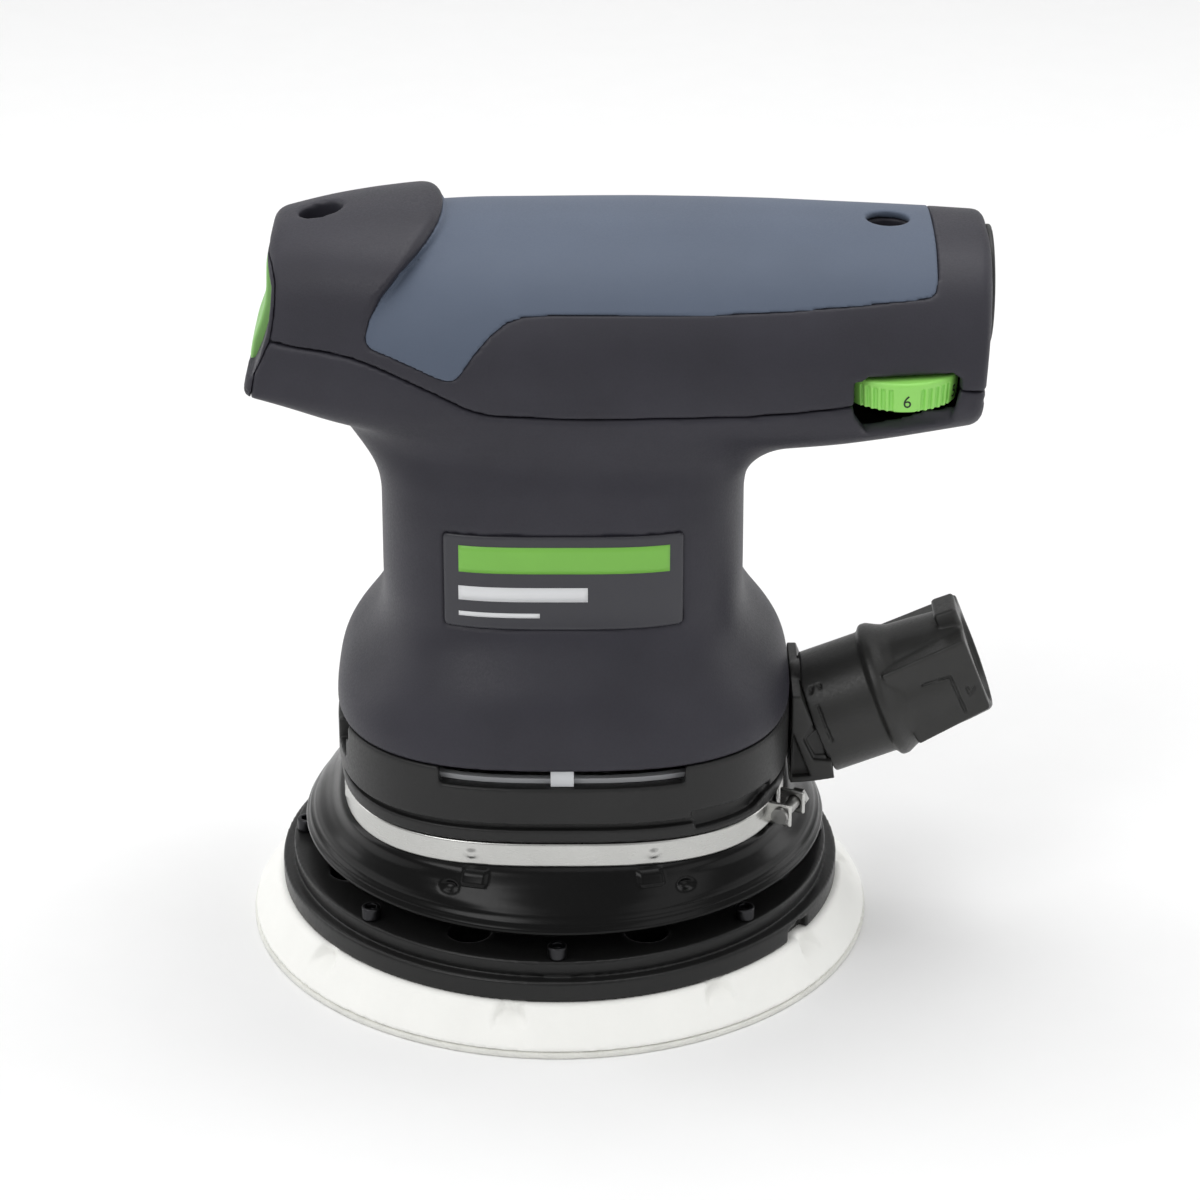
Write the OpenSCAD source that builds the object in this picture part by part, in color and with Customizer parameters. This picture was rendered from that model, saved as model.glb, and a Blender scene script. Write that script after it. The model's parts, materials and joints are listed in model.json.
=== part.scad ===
// Compact random-orbit sander with a 125 mm pad: handle housing, universal motor,
// orbit drive, dust extraction, clamped skirt and hook-and-loop pad.
// The origin is on the motor axis, level with the pad's abrasive face. +Z is up and
// +X is towards the rear, where the dust connector and the mains inlet are.

/* [Pad] */
// Diameter of the sanding pad
pad_d = 125; // [123:0.5:127]
// Offset of the pad's axis from the motor's axis, half of the sanding stroke
orbit = 1; // [0.5:0.1:1.2]
// Number of dust holes in the pad
dust_holes = 8; // [6:1:9]
// Pitch circle of the dust holes
dust_hole_pcd = 90; // [84:1:92]
// Diameter of each dust hole
dust_hole_d = 9.5; // [8:0.5:10]

/* [Housing] */
// Wall of the handle and motor housing
wall = 2.6; // [2:0.1:3]
// Gap along the seam between the housing's halves
seam_gap = 0.15; // [0.05:0.05:0.3]
// Thickness of the soft grip panel
grip_t = 1.4; // [1:0.1:1.6]
// Length of each cooling slot
vent_w = 47; // [30:1:50]

/* [Dust connector] */
// Angle of the connector above the horizontal
port_angle = 21.3; // [15:0.1:25]
// Diameter of the air bore
port_bore_d = 17.6; // [16:0.2:18]

/* [Controls] */
// Diameter of the speed wheel
wheel_d = 22; // [20:0.5:22.5]
// Width of the power rocker
rocker_w = 20; // [16:1:21]

/* [Hidden] */
$fn = 64;

// Levels along the motor axis
z_hook = 1.2;
z_foam = 12.85;
z_plate = 16.4;
z_skirt_rim = 21.2;
z_band = 31.4;
z_ring = 36.6;
z_vent = 48.5;
z_split = 52;
band_h = 5;

// Handle stations: x, top, underside, half width
handle = [
    [-60.5, 146.8, 119.4, 19.4], [-59.4, 147.9, 118, 20.9], [-57, 148.7, 116.9, 22.3],
    [-51, 149.7, 115.2, 24.0], [-44, 150.8, 112.6, 26.2], [-37, 151.6, 110.8, 28.2],
    [-31.5, 152.2, 109.4, 29.6], [-28, 152.7, 108.6, 30.4], [-25, 152.1, 108.0, 31.0],
    [-22.5, 150.4, 107.6, 31.3], [-20, 149.3, 107.2, 31.7], [-8, 149.0, 106.6, 32.4],
    [4, 149.1, 106.4, 32.6], [16, 149.15, 106.3, 32.6], [28, 149.0, 106.3, 32.2],
    [40, 148.75, 106.6, 31.5], [52, 148.3, 107.4, 30.4], [62, 148.0, 108.8, 29.2],
    [71, 147.7, 110.4, 27.8], [77.5, 147.3, 111.6, 26.4], [79.8, 146.6, 112.3, 25.4],
    [80.9, 145.2, 113.8, 24.0]
];
handle_zc = 121;
handle_n = 2.4;
handle_lean = 0.195;
lean_z = 118;

// Motor housing sections: height, half length, half width, superellipse exponent
body = [
    [z_split, 44.9, 43.9, 2.85], [56, 44.8, 43.6, 2.8], [59, 44.0, 43.3, 2.7],
    [62, 42.3, 42.9, 2.65], [65, 39.9, 42.2, 2.6], [68, 37.8, 40.8, 2.65], [71, 36.2, 38.4, 2.7],
    [74, 35.4, 35.7, 2.9], [77, 35.2, 33.9, 3.1], [80.5, 35.1, 33.2, 3.35],
    [98, 35.1, 33.0, 3.5], [101.5, 35.7, 33.0, 3.4], [104.5, 37.2, 33.0, 3.1],
    [107, 40.2, 33.0, 2.7], [109.5, 44.5, 32.6, 2.3], [112, 47, 31.5, 2.2],
    [118.5, 48, 30.5, 2.2]
];
base_a = 44.9;
base_b = 43.9;
base_n = 2.85;

// Seam between the housing's halves, seen from the side: x, z
seam = [
    [-70, 131.6], [-55, 130.9], [-50, 130.4], [-44.5, 130.2], [-40, 129.9], [-35.4, 128.8],
    [-31, 127.3], [-26.7, 125.6], [-22.4, 123.8], [-18.1, 121.7], [-14.5, 120.5], [-8, 120.2],
    [4, 120], [36, 120.1], [48, 120.8], [56, 121.6], [64, 122.6], [72, 123.5], [75, 123.4],
    [79.5, 122.6], [90, 122.6]
];
// Outline of the soft grip, seen from the side
grip_outline = [
    [-22.3, 160], [-22.4, 153], [-23.4, 151], [-26, 148.6], [-30.4, 144.4], [-33.4, 140.6],
    [-35.4, 137], [-36.3, 133.8], [-36, 132.4], [-34.8, 131.6], [-31.7, 130.7], [-26.7, 128.9],
    [-23, 127.4], [-21.1, 126.9], [-19.6, 127.3], [-18.7, 128.2], [-16.2, 131.8], [-13.1, 135.2],
    [-10, 137.4], [-6.9, 138.3], [-2, 138.6], [29, 138.5], [48, 139], [60, 139.5], [68, 139.9],
    [69.4, 140.4], [70, 142], [70.2, 146], [69.8, 160]
];

// Screws that join the housing's halves, along the handle
screw_x = [-45.7, 61.8];
screw_seat_z = [138, 130];
// Speed wheel
wheel_x = 63.6;
wheel_y = -19.7;
wheel_z = [120.4, 126.2];
pot_shaft_r = 2;
// Power rocker
rocker_x = -53.4;
rocker_z = 133.1;
rocker_half = 10.4;
rocker_pin_r = 1.2;
cap_t = 3.4;
// Mains inlet
inlet_z = 134.5;
inlet_r = 11.2;
inlet_mouth_r = 9.4;
// Dust connector, measured along its own axis
port_x = 49.3;
port_z = 42.5;
collar_s = 15.7;
port_end_s = 35.4;
spigot_r = 11.3;
duct_x = 45;
// Motor
shaft_r = 5;
shaft_top_r = 3.5;
core_z = [74, 98];
fit = 0.03;
bridge_z = 45.4;
bearing_low_z = 50;
bearing_top_z = 118;
pad_bearing_z = [27.25, 19.3];
pad_bearing_h = 7.8;
bridge_screw_xy = 28;
cap_screw_y = 27.6;
lug_z = 42.9;
board = [18, -19, 127];
board_size = 38;
board_inset = 3;

// ---------- Shared shapes ----------

function power(c, e) = sign(c) * pow(abs(c), e);

// Points of a superellipse with half axes a and b
function superellipse(a, b, n, count = 56) =
    [for (i = [0 : count - 1]) let (t = 360 * i / count)
        [a * power(cos(t), 2 / n), b * power(sin(t), 2 / n)]];

// One ring of the handle, inset by t, with the front leaning back
function handle_ring(s, t, count = 36) = let (
    lean = handle_lean * min(1, max(0, (-30 - s[0]) / 28)),
    up = s[1] - t - handle_zc,
    down = handle_zc - s[2] - t)
    [for (i = [0 : count - 1]) let (
        a = 360 * (i + 0.5) / count,
        y = (s[3] - t) * power(cos(a), 2 / handle_n),
        z = handle_zc + (sin(a) > 0 ? up : down) * power(sin(a), 2 / handle_n))
        [s[0] + lean * (z - lean_z), y, z]];

function body_ring(s, t, count = 48) =
    [for (p = superellipse(s[1] - t, s[2] - t, s[3], count)) [p[0], p[1], s[0]]];

// Closed solid through rings of equal point count
module skin(rings) {
    m = len(rings[0]);
    last = (len(rings) - 1) * m;
    polyhedron(
        points = [for (r = rings) each r],
        faces = [
            [for (i = [0 : m - 1]) i],
            for (k = [0 : len(rings) - 2], i = [0 : m - 1]) let (
                a = k * m + i,
                b = k * m + (i + 1) % m) each [[a, b + m, b], [a, a + m, b + m]],
            [for (i = [m - 1 : -1 : 0]) last + i]
        ]);
}

// Evaluates shapes that meet in free-form surfaces as one mesh
module as_mesh() resize([0, 0, 0]) children();

module at(x = 0, y = 0, z = 0) translate([x, y, z]) children();

// Prism of a side-view outline, across the whole width
module side_prism(outline, half = 60)
    translate([0, half, 0]) rotate([90, 0, 0]) linear_extrude(2 * half) polygon(outline);

module ring(r_out, r_in, h) difference() {
    cylinder(r = r_out, h = h);
    at(z = -1) cylinder(r = r_in, h = h + 2);
}

module sector(r_out, r_in, h, a0, a1)
    rotate(a0) rotate_extrude(angle = a1 - a0) at(r_in) square([r_out - r_in, h]);

// Solid of the handle, inset by t. An inset solid stays open at the front and stops short of
// the rear wall
module handle_solid(t = 0) {
    from = t > 0 ? 1 : 0;
    to = len(handle) - (t > 0 ? 3 : 1);
    skin([for (i = [from : to]) handle_ring(handle[i], t)]);
}

module body_solid(t = 0, drop = 0)
    skin([for (i = [0 : len(body) - 1]) let (s = body[i])
        body_ring(i == 0 && drop > 0 ? [s[0] - drop, s[1], s[2], s[3]] : s, t)]);

module base_outline(t = 0) polygon(superellipse(base_a - t, base_b - t, base_n));

module base_slab(z, h, t = 0) at(z = z) linear_extrude(h) base_outline(t);

module above_seam(shift = 0)
    side_prism([for (p = seam) [p[0], p[1] + shift], [90, 175], [-70, 175]]);

module below_seam(shift = 0)
    side_prism([for (p = seam) [p[0], p[1] - shift], [90, 20], [-70, 20]]);

// Front of the handle that belongs to the cap: distance behind the front plane, height
cap_edge = [
    [1.6, 100], [1.6, 124.5], [2.6, 128], [cap_t, 131], [cap_t, 134.5], [cap_t - 0.3, 138],
    [cap_t - 0.8, 141], [1.5, 143.5], [0, 145.2], [-10, 145.2]
];

module front_slice() side_prism([for (p = [[-10, 100], each cap_edge])
    [handle[0][0] + handle_lean * (p[1] - lean_z) + p[0], p[1]]]);

// Finger recess across the cap, around the rocker
module cap_recess() side_prism([for (p = [
    [-9, 126.3], [1.6, 126.9], [2.4, 129.5], [2.6, 132], [2.6, 134.5], [2.4, 137.3], [2, 140.4],
    [1, 142.5], [0, 144.4], [-9, 144.4]])
    [handle[0][0] + handle_lean * (p[1] - lean_z) + p[0], p[1]]]);

module port_frame(s = 0)
    translate([port_x, 0, port_z]) rotate([0, 90 - port_angle, 0]) at(z = s) children();

// Axis of the mains inlet, with its z along +X
module inlet_frame(x) translate([x, 0, inlet_z]) rotate([0, 90, 0]) children();

module screw(r, h, head_r, head_h, socket_r = 1.4) difference() {
    union() {
        at(z = -h) cylinder(r = r, h = h + 0.5);
        cylinder(r = head_r, h = head_h);
    }
    at(z = head_h - 1.4) cylinder(r = socket_r, h = 2, $fn = 6);
}

// Deep-groove ball bearing: two races, a shield on each side and its balls
module ball_bearing(r_in, r_out, h) {
    third = (r_out - r_in) / 3;
    mid = (r_in + r_out) / 2;
    ball_r = third * 0.62;
    count = floor(360 / (2 * asin(ball_r * 1.12 / mid)));
    difference() {
        ring(r_in + third, r_in, h);
        at(z = h / 2) rotate_extrude() at(mid) circle(r = ball_r + 0.05);
    }
    difference() {
        ring(r_out, r_out - third, h);
        at(z = h / 2) rotate_extrude() at(mid) circle(r = ball_r + 0.05);
    }
    for (z = [0.25, h - 0.65]) at(z = z) ring(r_out - third - 0.1, r_in + third + 0.15, 0.4);
    for (i = [0 : count - 1]) rotate(360 * i / count) at(mid, 0, h / 2) sphere(r = ball_r);
}

// Insulated lead through the given points, with a bead at each bend
module wire(points, r = 0.9, $fn = 12) as_mesh() {
    for (p = points) translate(p) sphere(r = r * 1.25);
    for (i = [0 : len(points) - 2]) let (
        a = points[i], v = points[i + 1] - points[i], l = norm(v))
        translate(a) rotate([0, acos(v[2] / l), atan2(v[1], v[0])]) cylinder(r = r, h = l);
}

// ---------- Housing shells ----------

// Space around the speed wheel and the finger scoop under it
module wheel_pocket() {
    at(wheel_x, wheel_y, wheel_z[0] - 0.7)
        cylinder(r = wheel_d / 2 + 0.7, h = wheel_z[1] - wheel_z[0] + 1.4, $fn = 48);
    translate([wheel_x - 9.2, -34, 116.4]) cube([19.9, 7.4, 10.1]);
}

module screw_tower(x, z0, z1) at(x, 0, z0) cylinder(r = 5, h = z1 - z0, $fn = 32);

module each_board_hole() for (i = [board_inset, board_size - board_inset])
    for (j = [board_inset, board_size - board_inset]) at(board[0] + i, board[1] + j) children();

module board_posts() each_board_hole() at(z = board[2] + 1.7) cylinder(r = 2.6, h = 30, $fn = 20);

module upper_shell() color([0.20, 0.20, 0.23]) as_mesh() difference() {
    intersection() {
        union() {
            difference() {
                handle_solid();
                handle_solid(wall + 0.4);
            }
            intersection() {
                handle_solid(0.5);
                union() {
                    for (x = screw_x) screw_tower(x, 118, 155);
                    board_posts();
                }
            }
        }
        above_seam(seam_gap / 2);
    }
    front_slice();
    intersection() {
        side_prism(grip_outline);
        difference() {
            handle_solid(-1);
            handle_solid(grip_t + 0.05);
        }
    }
    for (i = [0, 1]) {
        at(screw_x[i], 0, screw_seat_z[i]) cylinder(r = 4.1, h = 40, $fn = 32);
        at(screw_x[i], 0, 110) cylinder(r = 1.9, h = 40, $fn = 20);
    }
    wheel_pocket();
    rocker_window();
    inlet_frame(60) cylinder(r = inlet_r + 0.1, h = 30, $fn = 40);
}

module grip_panel() color([0.40, 0.44, 0.50]) as_mesh() difference() {
    intersection() {
        handle_solid();
        side_prism(grip_outline);
    }
    handle_solid(grip_t);
    at(screw_x[1], 0, 120) cylinder(r = 4.1, h = 50, $fn = 32);
}

module label_box(gap = 0) translate([-22.6 - gap, -36, 77.1 - gap])
    cube([45.8 + 2 * gap, 8, 19.4 + 2 * gap]);

module bridge_bosses() for (a = [45 : 90 : 315]) rotate(a) {
    at(bridge_screw_xy * sqrt(2), 0, 48.4) cylinder(r = 3.6, h = 16, $fn = 24);
    translate([bridge_screw_xy * sqrt(2), -1.2, z_split + 1]) cube([6, 2.4, 11]);
}

module stator_ribs() for (a = [45 : 90 : 315]) rotate(a)
    translate([28.2, -1.5, core_z[0]]) cube([9, 3, core_z[1] - core_z[0]]);

module cap_bosses() for (s = [-1, 1]) at(0, s * cap_screw_y, core_z[1] + 1)
    cylinder(r = 3.4, h = 4.6, $fn = 24);

module lower_shell() color([0.18, 0.18, 0.21]) as_mesh() difference() {
    intersection() {
        union() {
            difference() {
                union() {
                    handle_solid();
                    body_solid();
                }
                handle_solid(wall);
                body_solid(wall, 3);
            }
            intersection() {
                handle_solid(0.5);
                for (x = screw_x) screw_tower(x, 100, 140);
            }
            intersection() {
                body_solid(0.8, 5);
                union() {
                    bridge_bosses();
                    stator_ribs();
                    for (s = [-1, 1]) translate([-4, s > 0 ? cap_screw_y : -33, core_z[1] + 1])
                        cube([8, 33 - cap_screw_y, 4.6]);
                    cap_bosses();
                }
            }
        }
        below_seam(seam_gap / 2);
    }
    front_slice();
    rocker_window();
    wheel_pocket();
    for (x = screw_x) at(x, 0, 116) cylinder(r = 1.35, h = 30, $fn = 20);
    for (a = [45 : 90 : 315]) rotate(a)
        at(bridge_screw_xy * sqrt(2), 0, 40) cylinder(r = 1.55, h = 21, $fn = 20);
    for (s = [-1, 1]) at(0, s * cap_screw_y, core_z[1]) cylinder(r = 1.3, h = 8, $fn = 20);
    inlet_frame(60) cylinder(r = inlet_r + 0.1, h = 30, $fn = 40);
    difference() {
        label_box(0.15);
        body_solid(0.95);
    }
}

module rocker_window() translate([-70, -rocker_w / 2 - 0.35, rocker_z - rocker_half - 0.55])
    cube([30, rocker_w + 0.7, 2 * rocker_half + 1.1]);

module front_cap() color([0.22, 0.22, 0.24]) as_mesh() difference() {
    union() {
        intersection() {
            handle_solid();
            at(x = -0.1) front_slice();
        }
        for (s = [-1, 1]) translate([rocker_x - 1.8, s * (rocker_w / 2 + 2.2) - 1.4, rocker_z - 4])
            cube([4.4, 2.8, 8]);
    }
    cap_recess();
    rocker_window();
    at(rocker_x, -rocker_w / 2 - 3.7, rocker_z) rotate([-90, 0, 0])
        cylinder(r = rocker_pin_r + 0.05, h = rocker_w + 7.4, $fn = 32);
}

module label_plate() color([0.24, 0.24, 0.27]) as_mesh() intersection() {
    difference() {
        body_solid();
        body_solid(0.9);
    }
    label_box();
}

// ---------- Fan end and dust path ----------

module fan_housing() color([0.13, 0.13, 0.13]) difference() {
    union() {
        difference() {
            union() {
                base_slab(z_ring + 4, z_split - z_ring - 4.1);
                base_slab(z_ring + 2.6, 1.4, 1.6);
                base_slab(z_ring, 2.6, 0.5);
                base_slab(z_band - 0.9, z_ring - z_band + 0.9, 2.95);
            }
            base_slab(z_ring - 1.8, 20, 4.6);
            base_slab(bridge_z - 0.1, 20, 2.9);
            base_slab(z_band - 2, 3.6, 4.6);
            cylinder(r = 26, h = 60);
        }
        for (a = [45 : 90 : 315]) rotate(a) at(bridge_screw_xy * sqrt(2), 0, lug_z) {
            cylinder(r = 4.2, h = bridge_z - 0.1 - lug_z);
            translate([0, -4.2, 0]) cube([5.6, 8.4, bridge_z - 0.1 - lug_z]);
        }
    }
    for (a = [45 : 90 : 315]) rotate(a) at(bridge_screw_xy * sqrt(2), 0, lug_z - 1) cylinder(r = 1.7, h = 5);
    for (a = [180, 270, 90]) rotate(a)
        translate([36, -vent_w / 2, z_vent]) cube([12, vent_w, 10]);
    translate([36, -10, z_ring + 0.4]) cube([12, 20, 8]);
    translate([25, -46, z_ring + 0.9]) rotate([0, 0, 22]) cube([12, 3, 4.4]);
}

module air_guide_ring() color([0.82, 0.83, 0.84]) {
    difference() {
        union() {
            base_slab(bridge_z + 2.9, 1, 3);
            for (a = [180, 270, 90]) rotate(a) translate([38.4, -2.2, bridge_z + 3.2])
                cube([4.4, 4.4, 3.2]);
        }
        base_slab(bridge_z, 3.95, 4.4);
    }
}

// Side plates of the duct, seen from the side
cheek = [
    [duct_x, 52.6], [46.9, 52.6], [49.4, 46.4], [47.5, 43.1], [49.6, 38.6], [53.2, 38.3],
    [53.9, 34.5], [49.7, 33.8], [duct_x, 33.4]
];

module dust_duct() color([0.16, 0.16, 0.155]) difference() {
    union() {
        side_prism(cheek, 12.6);
        side_prism([[duct_x, 52], [47, 52], [52.4, 38.4], [52.9, 34.7], [duct_x, 33.9]], 11.6);
        side_prism([[duct_x, 35], [52.4, 35], [51.6, 31.6], [duct_x, 31.6]], 8);
        port_frame(-3) cylinder(r = spigot_r, h = 12.2);
    }
    intersection() {
        port_frame(-12) cylinder(r = port_bore_d / 2 + 0.7, h = 30);
        translate([30, -20, 32.6]) cube([40, 40, 40]);
    }
    for (s = [-1, 1]) translate([0, s * 12.6, 0]) rotate([90, 0, 0]) at(z = -0.8)
        linear_extrude(1.6) polygon([[duct_x + 0.3, 44.6], [duct_x + 0.3, 34.6], [49.1, 34.9]]);
    translate([duct_x - 20, -30, 20]) cube([20, 60, 50]);
}

module dust_connector() color([0.15, 0.15, 0.145]) difference() {
    port_frame() union() {
        rotate_extrude() polygon([
            [port_bore_d / 2, 9.4], [spigot_r + 0.05, 9.4], [spigot_r + 0.05, 2.8],
            [12.5, 2.8], [12.5, collar_s], [13.2, collar_s + 0.2],
            [13.6, collar_s + 0.8], [13.6, collar_s + 2.4], [12.2, collar_s + 4.2],
            [12, collar_s + 4.6], [11.5, port_end_s - 5.4], [10.7, port_end_s - 0.5],
            [10.3, port_end_s], [port_bore_d / 2, port_end_s]]);
        translate([-13.4, -4.2, port_end_s - 4.7]) cube([3.4, 8.4, 4.7]);
    }
    port_frame(8) cylinder(r = port_bore_d / 2, h = 40);
}

// ---------- Skirt and its clamp ----------

skirt_rings = [
    [z_ring - 0.1, 43.3, 2.85], [z_band, 43.3, 2.85], [z_band - 0.6, 45.2, 2.75],
    [z_band - 2.4, 46.0, 2.55], [z_band - 4.4, 48.0, 2.3], [z_band - 6.2, 50.4, 2.1],
    [z_skirt_rim + 2, 52.2, 2], [z_skirt_rim, 52.4, 2]
];

module skirt_solid(t) skin([
    for (i = [len(skirt_rings) - 1 : -1 : 0]) let (s = skirt_rings[i], end = i == 0 ? t : 0)
        [for (p = superellipse(s[1] - t, s[1] - t - (s[2] > 2.5 ? 0.6 : 0), s[2], 56))
            [p[0], p[1], s[0] + (i == len(skirt_rings) - 1 ? -t : end)]]]);

// Lip inside the skirt that rubs on the pad's plate and keeps it from spinning up
module brake_lip() rotate_extrude() polygon([
    [45.6, 28.4], [48, 26.6], [43.4, z_plate + 0.5], [42, z_plate + 0.5]]);

module skirt() color([0.07, 0.07, 0.07]) as_mesh() difference() {
    union() {
        skirt_solid(0);
        brake_lip();
    }
    difference() {
        skirt_solid(1.25);
        brake_lip();
    }
    for (a = [-116, -60, 64, 116]) rotate(a) at(48.3, 0, 20) cylinder(r = 1.6, h = 12, $fn = 20);
    for (a = [-120 : 45 : 195]) rotate(a) at(51.4, 0, 20) cylinder(r = 0.9, h = 2.2, $fn = 12);
}

band_a = 43.35;
clamp_angle = -27;

module band_outline(t) polygon(superellipse(band_a + t, band_a + t - 0.6, base_n));

module band_studs() for (a = [-112.5, -67.5, 67.5, 112.5, 157.5, 202.5]) let (
    r = pow(pow(abs(cos(a)) / (band_a + 0.8), base_n) + pow(abs(sin(a)) / (band_a + 0.2), base_n),
        -1 / base_n))
    rotate(a) at(r - 0.5, 0, z_band + band_h / 2) rotate([0, 90, 0])
        cylinder(r1 = 1.5, r2 = 0.9, h = 1.3, $fn = 24);

module band_ear(y) rotate(clamp_angle) translate([47.4, y, z_band]) cube([5, 0.9, band_h]);

module clamp_band() color([0.75, 0.75, 0.74]) difference() {
    union() {
        at(z = z_band) linear_extrude(band_h) band_outline(0.8);
        band_ear(-4.6);
        band_ear(1.6);
        band_studs();
    }
    at(z = z_band - 1) linear_extrude(band_h + 2) band_outline(0.05);
    rotate(clamp_angle) translate([44, -3.7, z_band - 1]) cube([6, 5.3, band_h + 2]);
    rotate(clamp_angle) translate([50.2, -10, z_band + band_h / 2]) rotate([-90, 0, 0]) cylinder(r = 1.3, h = 20);
}

module clamp_screw() color([0.6, 0.6, 0.6]) rotate(clamp_angle)
    translate([50.2, 0, z_band + band_h / 2]) rotate([-90, 0, 0]) {
        at(z = -5.6) cylinder(r = 1.7, h = 0.9);
        at(z = -4.7) cylinder(r = 1.25, h = 9);
        at(z = 2.6) cylinder(r = 2.1, h = 1.6, $fn = 6);
    }

// ---------- Motor ----------

module bearing_bridge() color([0.7, 0.7, 0.72]) difference() {
    union() {
        base_slab(bridge_z, 2.8, 3.2);
        at(z = bridge_z) cylinder(r = 16, h = 13.6);
        for (a = [0 : 45 : 315]) rotate(a) translate([14, -1, bridge_z]) cube([21, 2, 7]);
    }
    at(z = bearing_low_z) cylinder(r = 13 + fit / 2, h = 20);
    at(z = bridge_z - 1) cylinder(r = 11, h = 20);
    for (a = [45 : 90 : 315]) rotate(a) at(bridge_screw_xy * sqrt(2), 0, 40) cylinder(r = 1.7, h = 20);
    for (a = [22.5 : 45 : 337.5]) rotate(a) translate([19, -4, 40]) cube([14, 8, 20]);
}

module bridge_screws() color([0.5, 0.5, 0.5]) for (a = [45 : 90 : 315]) rotate(a)
    at(bridge_screw_xy * sqrt(2), 0, lug_z - 0.02) mirror([0, 0, 1]) screw(1.5, 15.5, 2.6, 2.1);

module lower_bearing() color([0.7, 0.7, 0.7]) at(z = bearing_low_z + 0.02)
    ball_bearing(shaft_r + fit, 13 - fit / 2, 8);

module upper_bearing() color([0.7, 0.7, 0.7]) at(z = bearing_top_z)
    ball_bearing(shaft_top_r + fit, 9.5, 6);

module bearing_sleeve() color([0.1, 0.1, 0.1]) at(z = bearing_top_z) difference() {
    cylinder(r = 11.5, h = 7.2);
    at(z = -1) cylinder(r = 9.52, h = 7.02);
    cylinder(r = 7, h = 10);
}

module motor_cap() color([0.25, 0.22, 0.2]) difference() {
    union() {
        at(z = core_z[1] + 5.8) cylinder(r = 30, h = 2.2);
        for (s = [-1, 1]) translate([-6, s * 17 - 2.5, core_z[1] + 5.8]) cube([12, 5, 21.2]);
        translate([-8, -19.5, 117.4]) cube([16, 39, 9.4]);
        at(z = 117.4) cylinder(r = 14, h = 9.4);
    }
    at(z = core_z[1]) cylinder(r = 13.5, h = bearing_top_z - core_z[1] - 0.02);
    at(z = 100) cylinder(r = 11.53, h = 25.23);
    at(z = 100) cylinder(r = 8, h = 30);
    for (s = [-1, 1]) at(0, s * cap_screw_y, 90) cylinder(r = 1.6, h = 30);
}

module motor_cap_screws() color([0.5, 0.5, 0.5]) for (s = [-1, 1])
    at(0, s * cap_screw_y, core_z[1] + 8.02) screw(1.25, 6.6, 2.3, 1.8);

module stator_core() color([0.45, 0.45, 0.47]) at(z = core_z[0]) difference() {
    cylinder(r = 28, h = core_z[1] - core_z[0]);
    at(z = -1) cylinder(r = 16.2, h = 60);
    for (a = [90, 270]) at(z = -1) sector(22, 15, 60, a - 40, a + 40);
    for (a = [45 : 90 : 315]) rotate(a) at(28.4, 0, -1) cylinder(r = 1.6, h = 60);
}

module field_coils() color([0.72, 0.42, 0.2]) {
    at(z = core_z[0] - 5) ring(24.5, 17, 4.8);
    at(z = core_z[1] + 0.2) ring(24.5, 17, 4.8);
    for (a = [90, 270]) at(z = core_z[0] - 1) sector(21.8, 17.3, core_z[1] - core_z[0] + 2, a - 38, a + 38);
}

brush_z = 109.5;

module brush_holders() color([0.8, 0.65, 0.3]) for (s = [-1, 1])
    translate([s > 0 ? 13 : -27, -4.6, brush_z - 3.4]) difference() {
        cube([14, 9.2, 6.8]);
        translate([-1, 1, 1]) cube([20, 7.2, 4.8]);
    }

module carbon_brushes() color([0.12, 0.12, 0.12]) for (s = [-1, 1])
    translate([s > 0 ? 10.1 : -21.1, -3.5, brush_z - 2.3]) cube([11, 7, 4.6]);

module brush_springs() color([0.6, 0.6, 0.62]) for (s = [-1, 1], i = [0 : 3])
    translate([s * (21.9 + 1.2 * i), 0, brush_z]) rotate([0, 90, 0])
        rotate_extrude() at(1.6) circle(r = 0.4, $fn = 16);

module brush_caps() color([0.15, 0.15, 0.15]) for (s = [-1, 1])
    translate([s > 0 ? 27.1 : -28.7, -4.6, brush_z - 3.4]) cube([1.6, 9.2, 6.8]);

// ---------- Electrics ----------

module circuit_board() color([0.1, 0.35, 0.2]) difference() {
    translate(board) cube([board_size, board_size, 1.6]);
    each_board_hole() cylinder(r = 1.6, h = 200);
}

module interference_capacitor() color([0.75, 0.6, 0.2]) translate([25, -14, 128.65]) cube([18, 9, 11]);

module power_triac() color([0.15, 0.15, 0.17]) translate([44, 0, 128.65]) cube([9, 9, 7]);

module potentiometer() color([0.2, 0.3, 0.5]) difference() {
    union() {
        translate([wheel_x - 5, wheel_y - 3.4, wheel_z[1] + 1]) cube([10, 9, 5]);
        at(wheel_x, wheel_y, wheel_z[0] + 0.8) cylinder(r = pot_shaft_r, h = 8);
    }
    at(wheel_x, wheel_y, wheel_z[0]) translate([-0.4, -3, 0]) cube([0.8, 6, 3]);
}

module plug_inlet() color([0.09, 0.09, 0.09]) difference() {
    union() {
        inlet_frame(67.5) cylinder(r = inlet_r, h = 13.9);
        inlet_frame(81) cylinder(r1 = inlet_r + 0.5, r2 = inlet_r - 0.2, h = 0.7);
    }
    inlet_frame(76.6) cylinder(r = inlet_mouth_r, h = 10);
    inlet_frame(71) cylinder(r = 7.4, h = 10);
    for (s = [-1, 1]) inlet_frame(66) at(0, s * 3.6) cylinder(r = 1.55, h = 6);
    for (s = [-1, 1]) translate([78, s * inlet_mouth_r - 1.1, inlet_z - 1.5]) cube([6, 2.2, 3]);
}

module inlet_pins() color([0.8, 0.7, 0.4]) for (s = [-1, 1])
    inlet_frame(65.6) at(0, s * 3.6) cylinder(r = 1.5, h = 10.8);

module switch_module() color([0.12, 0.12, 0.14]) {
    translate([-51.8, 5.2, 126]) cube([11, 5.4, 10.4]);
    translate([-52.9, 7, 129.4]) cube([1.2, 2.4, 2.2]);
}

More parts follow.
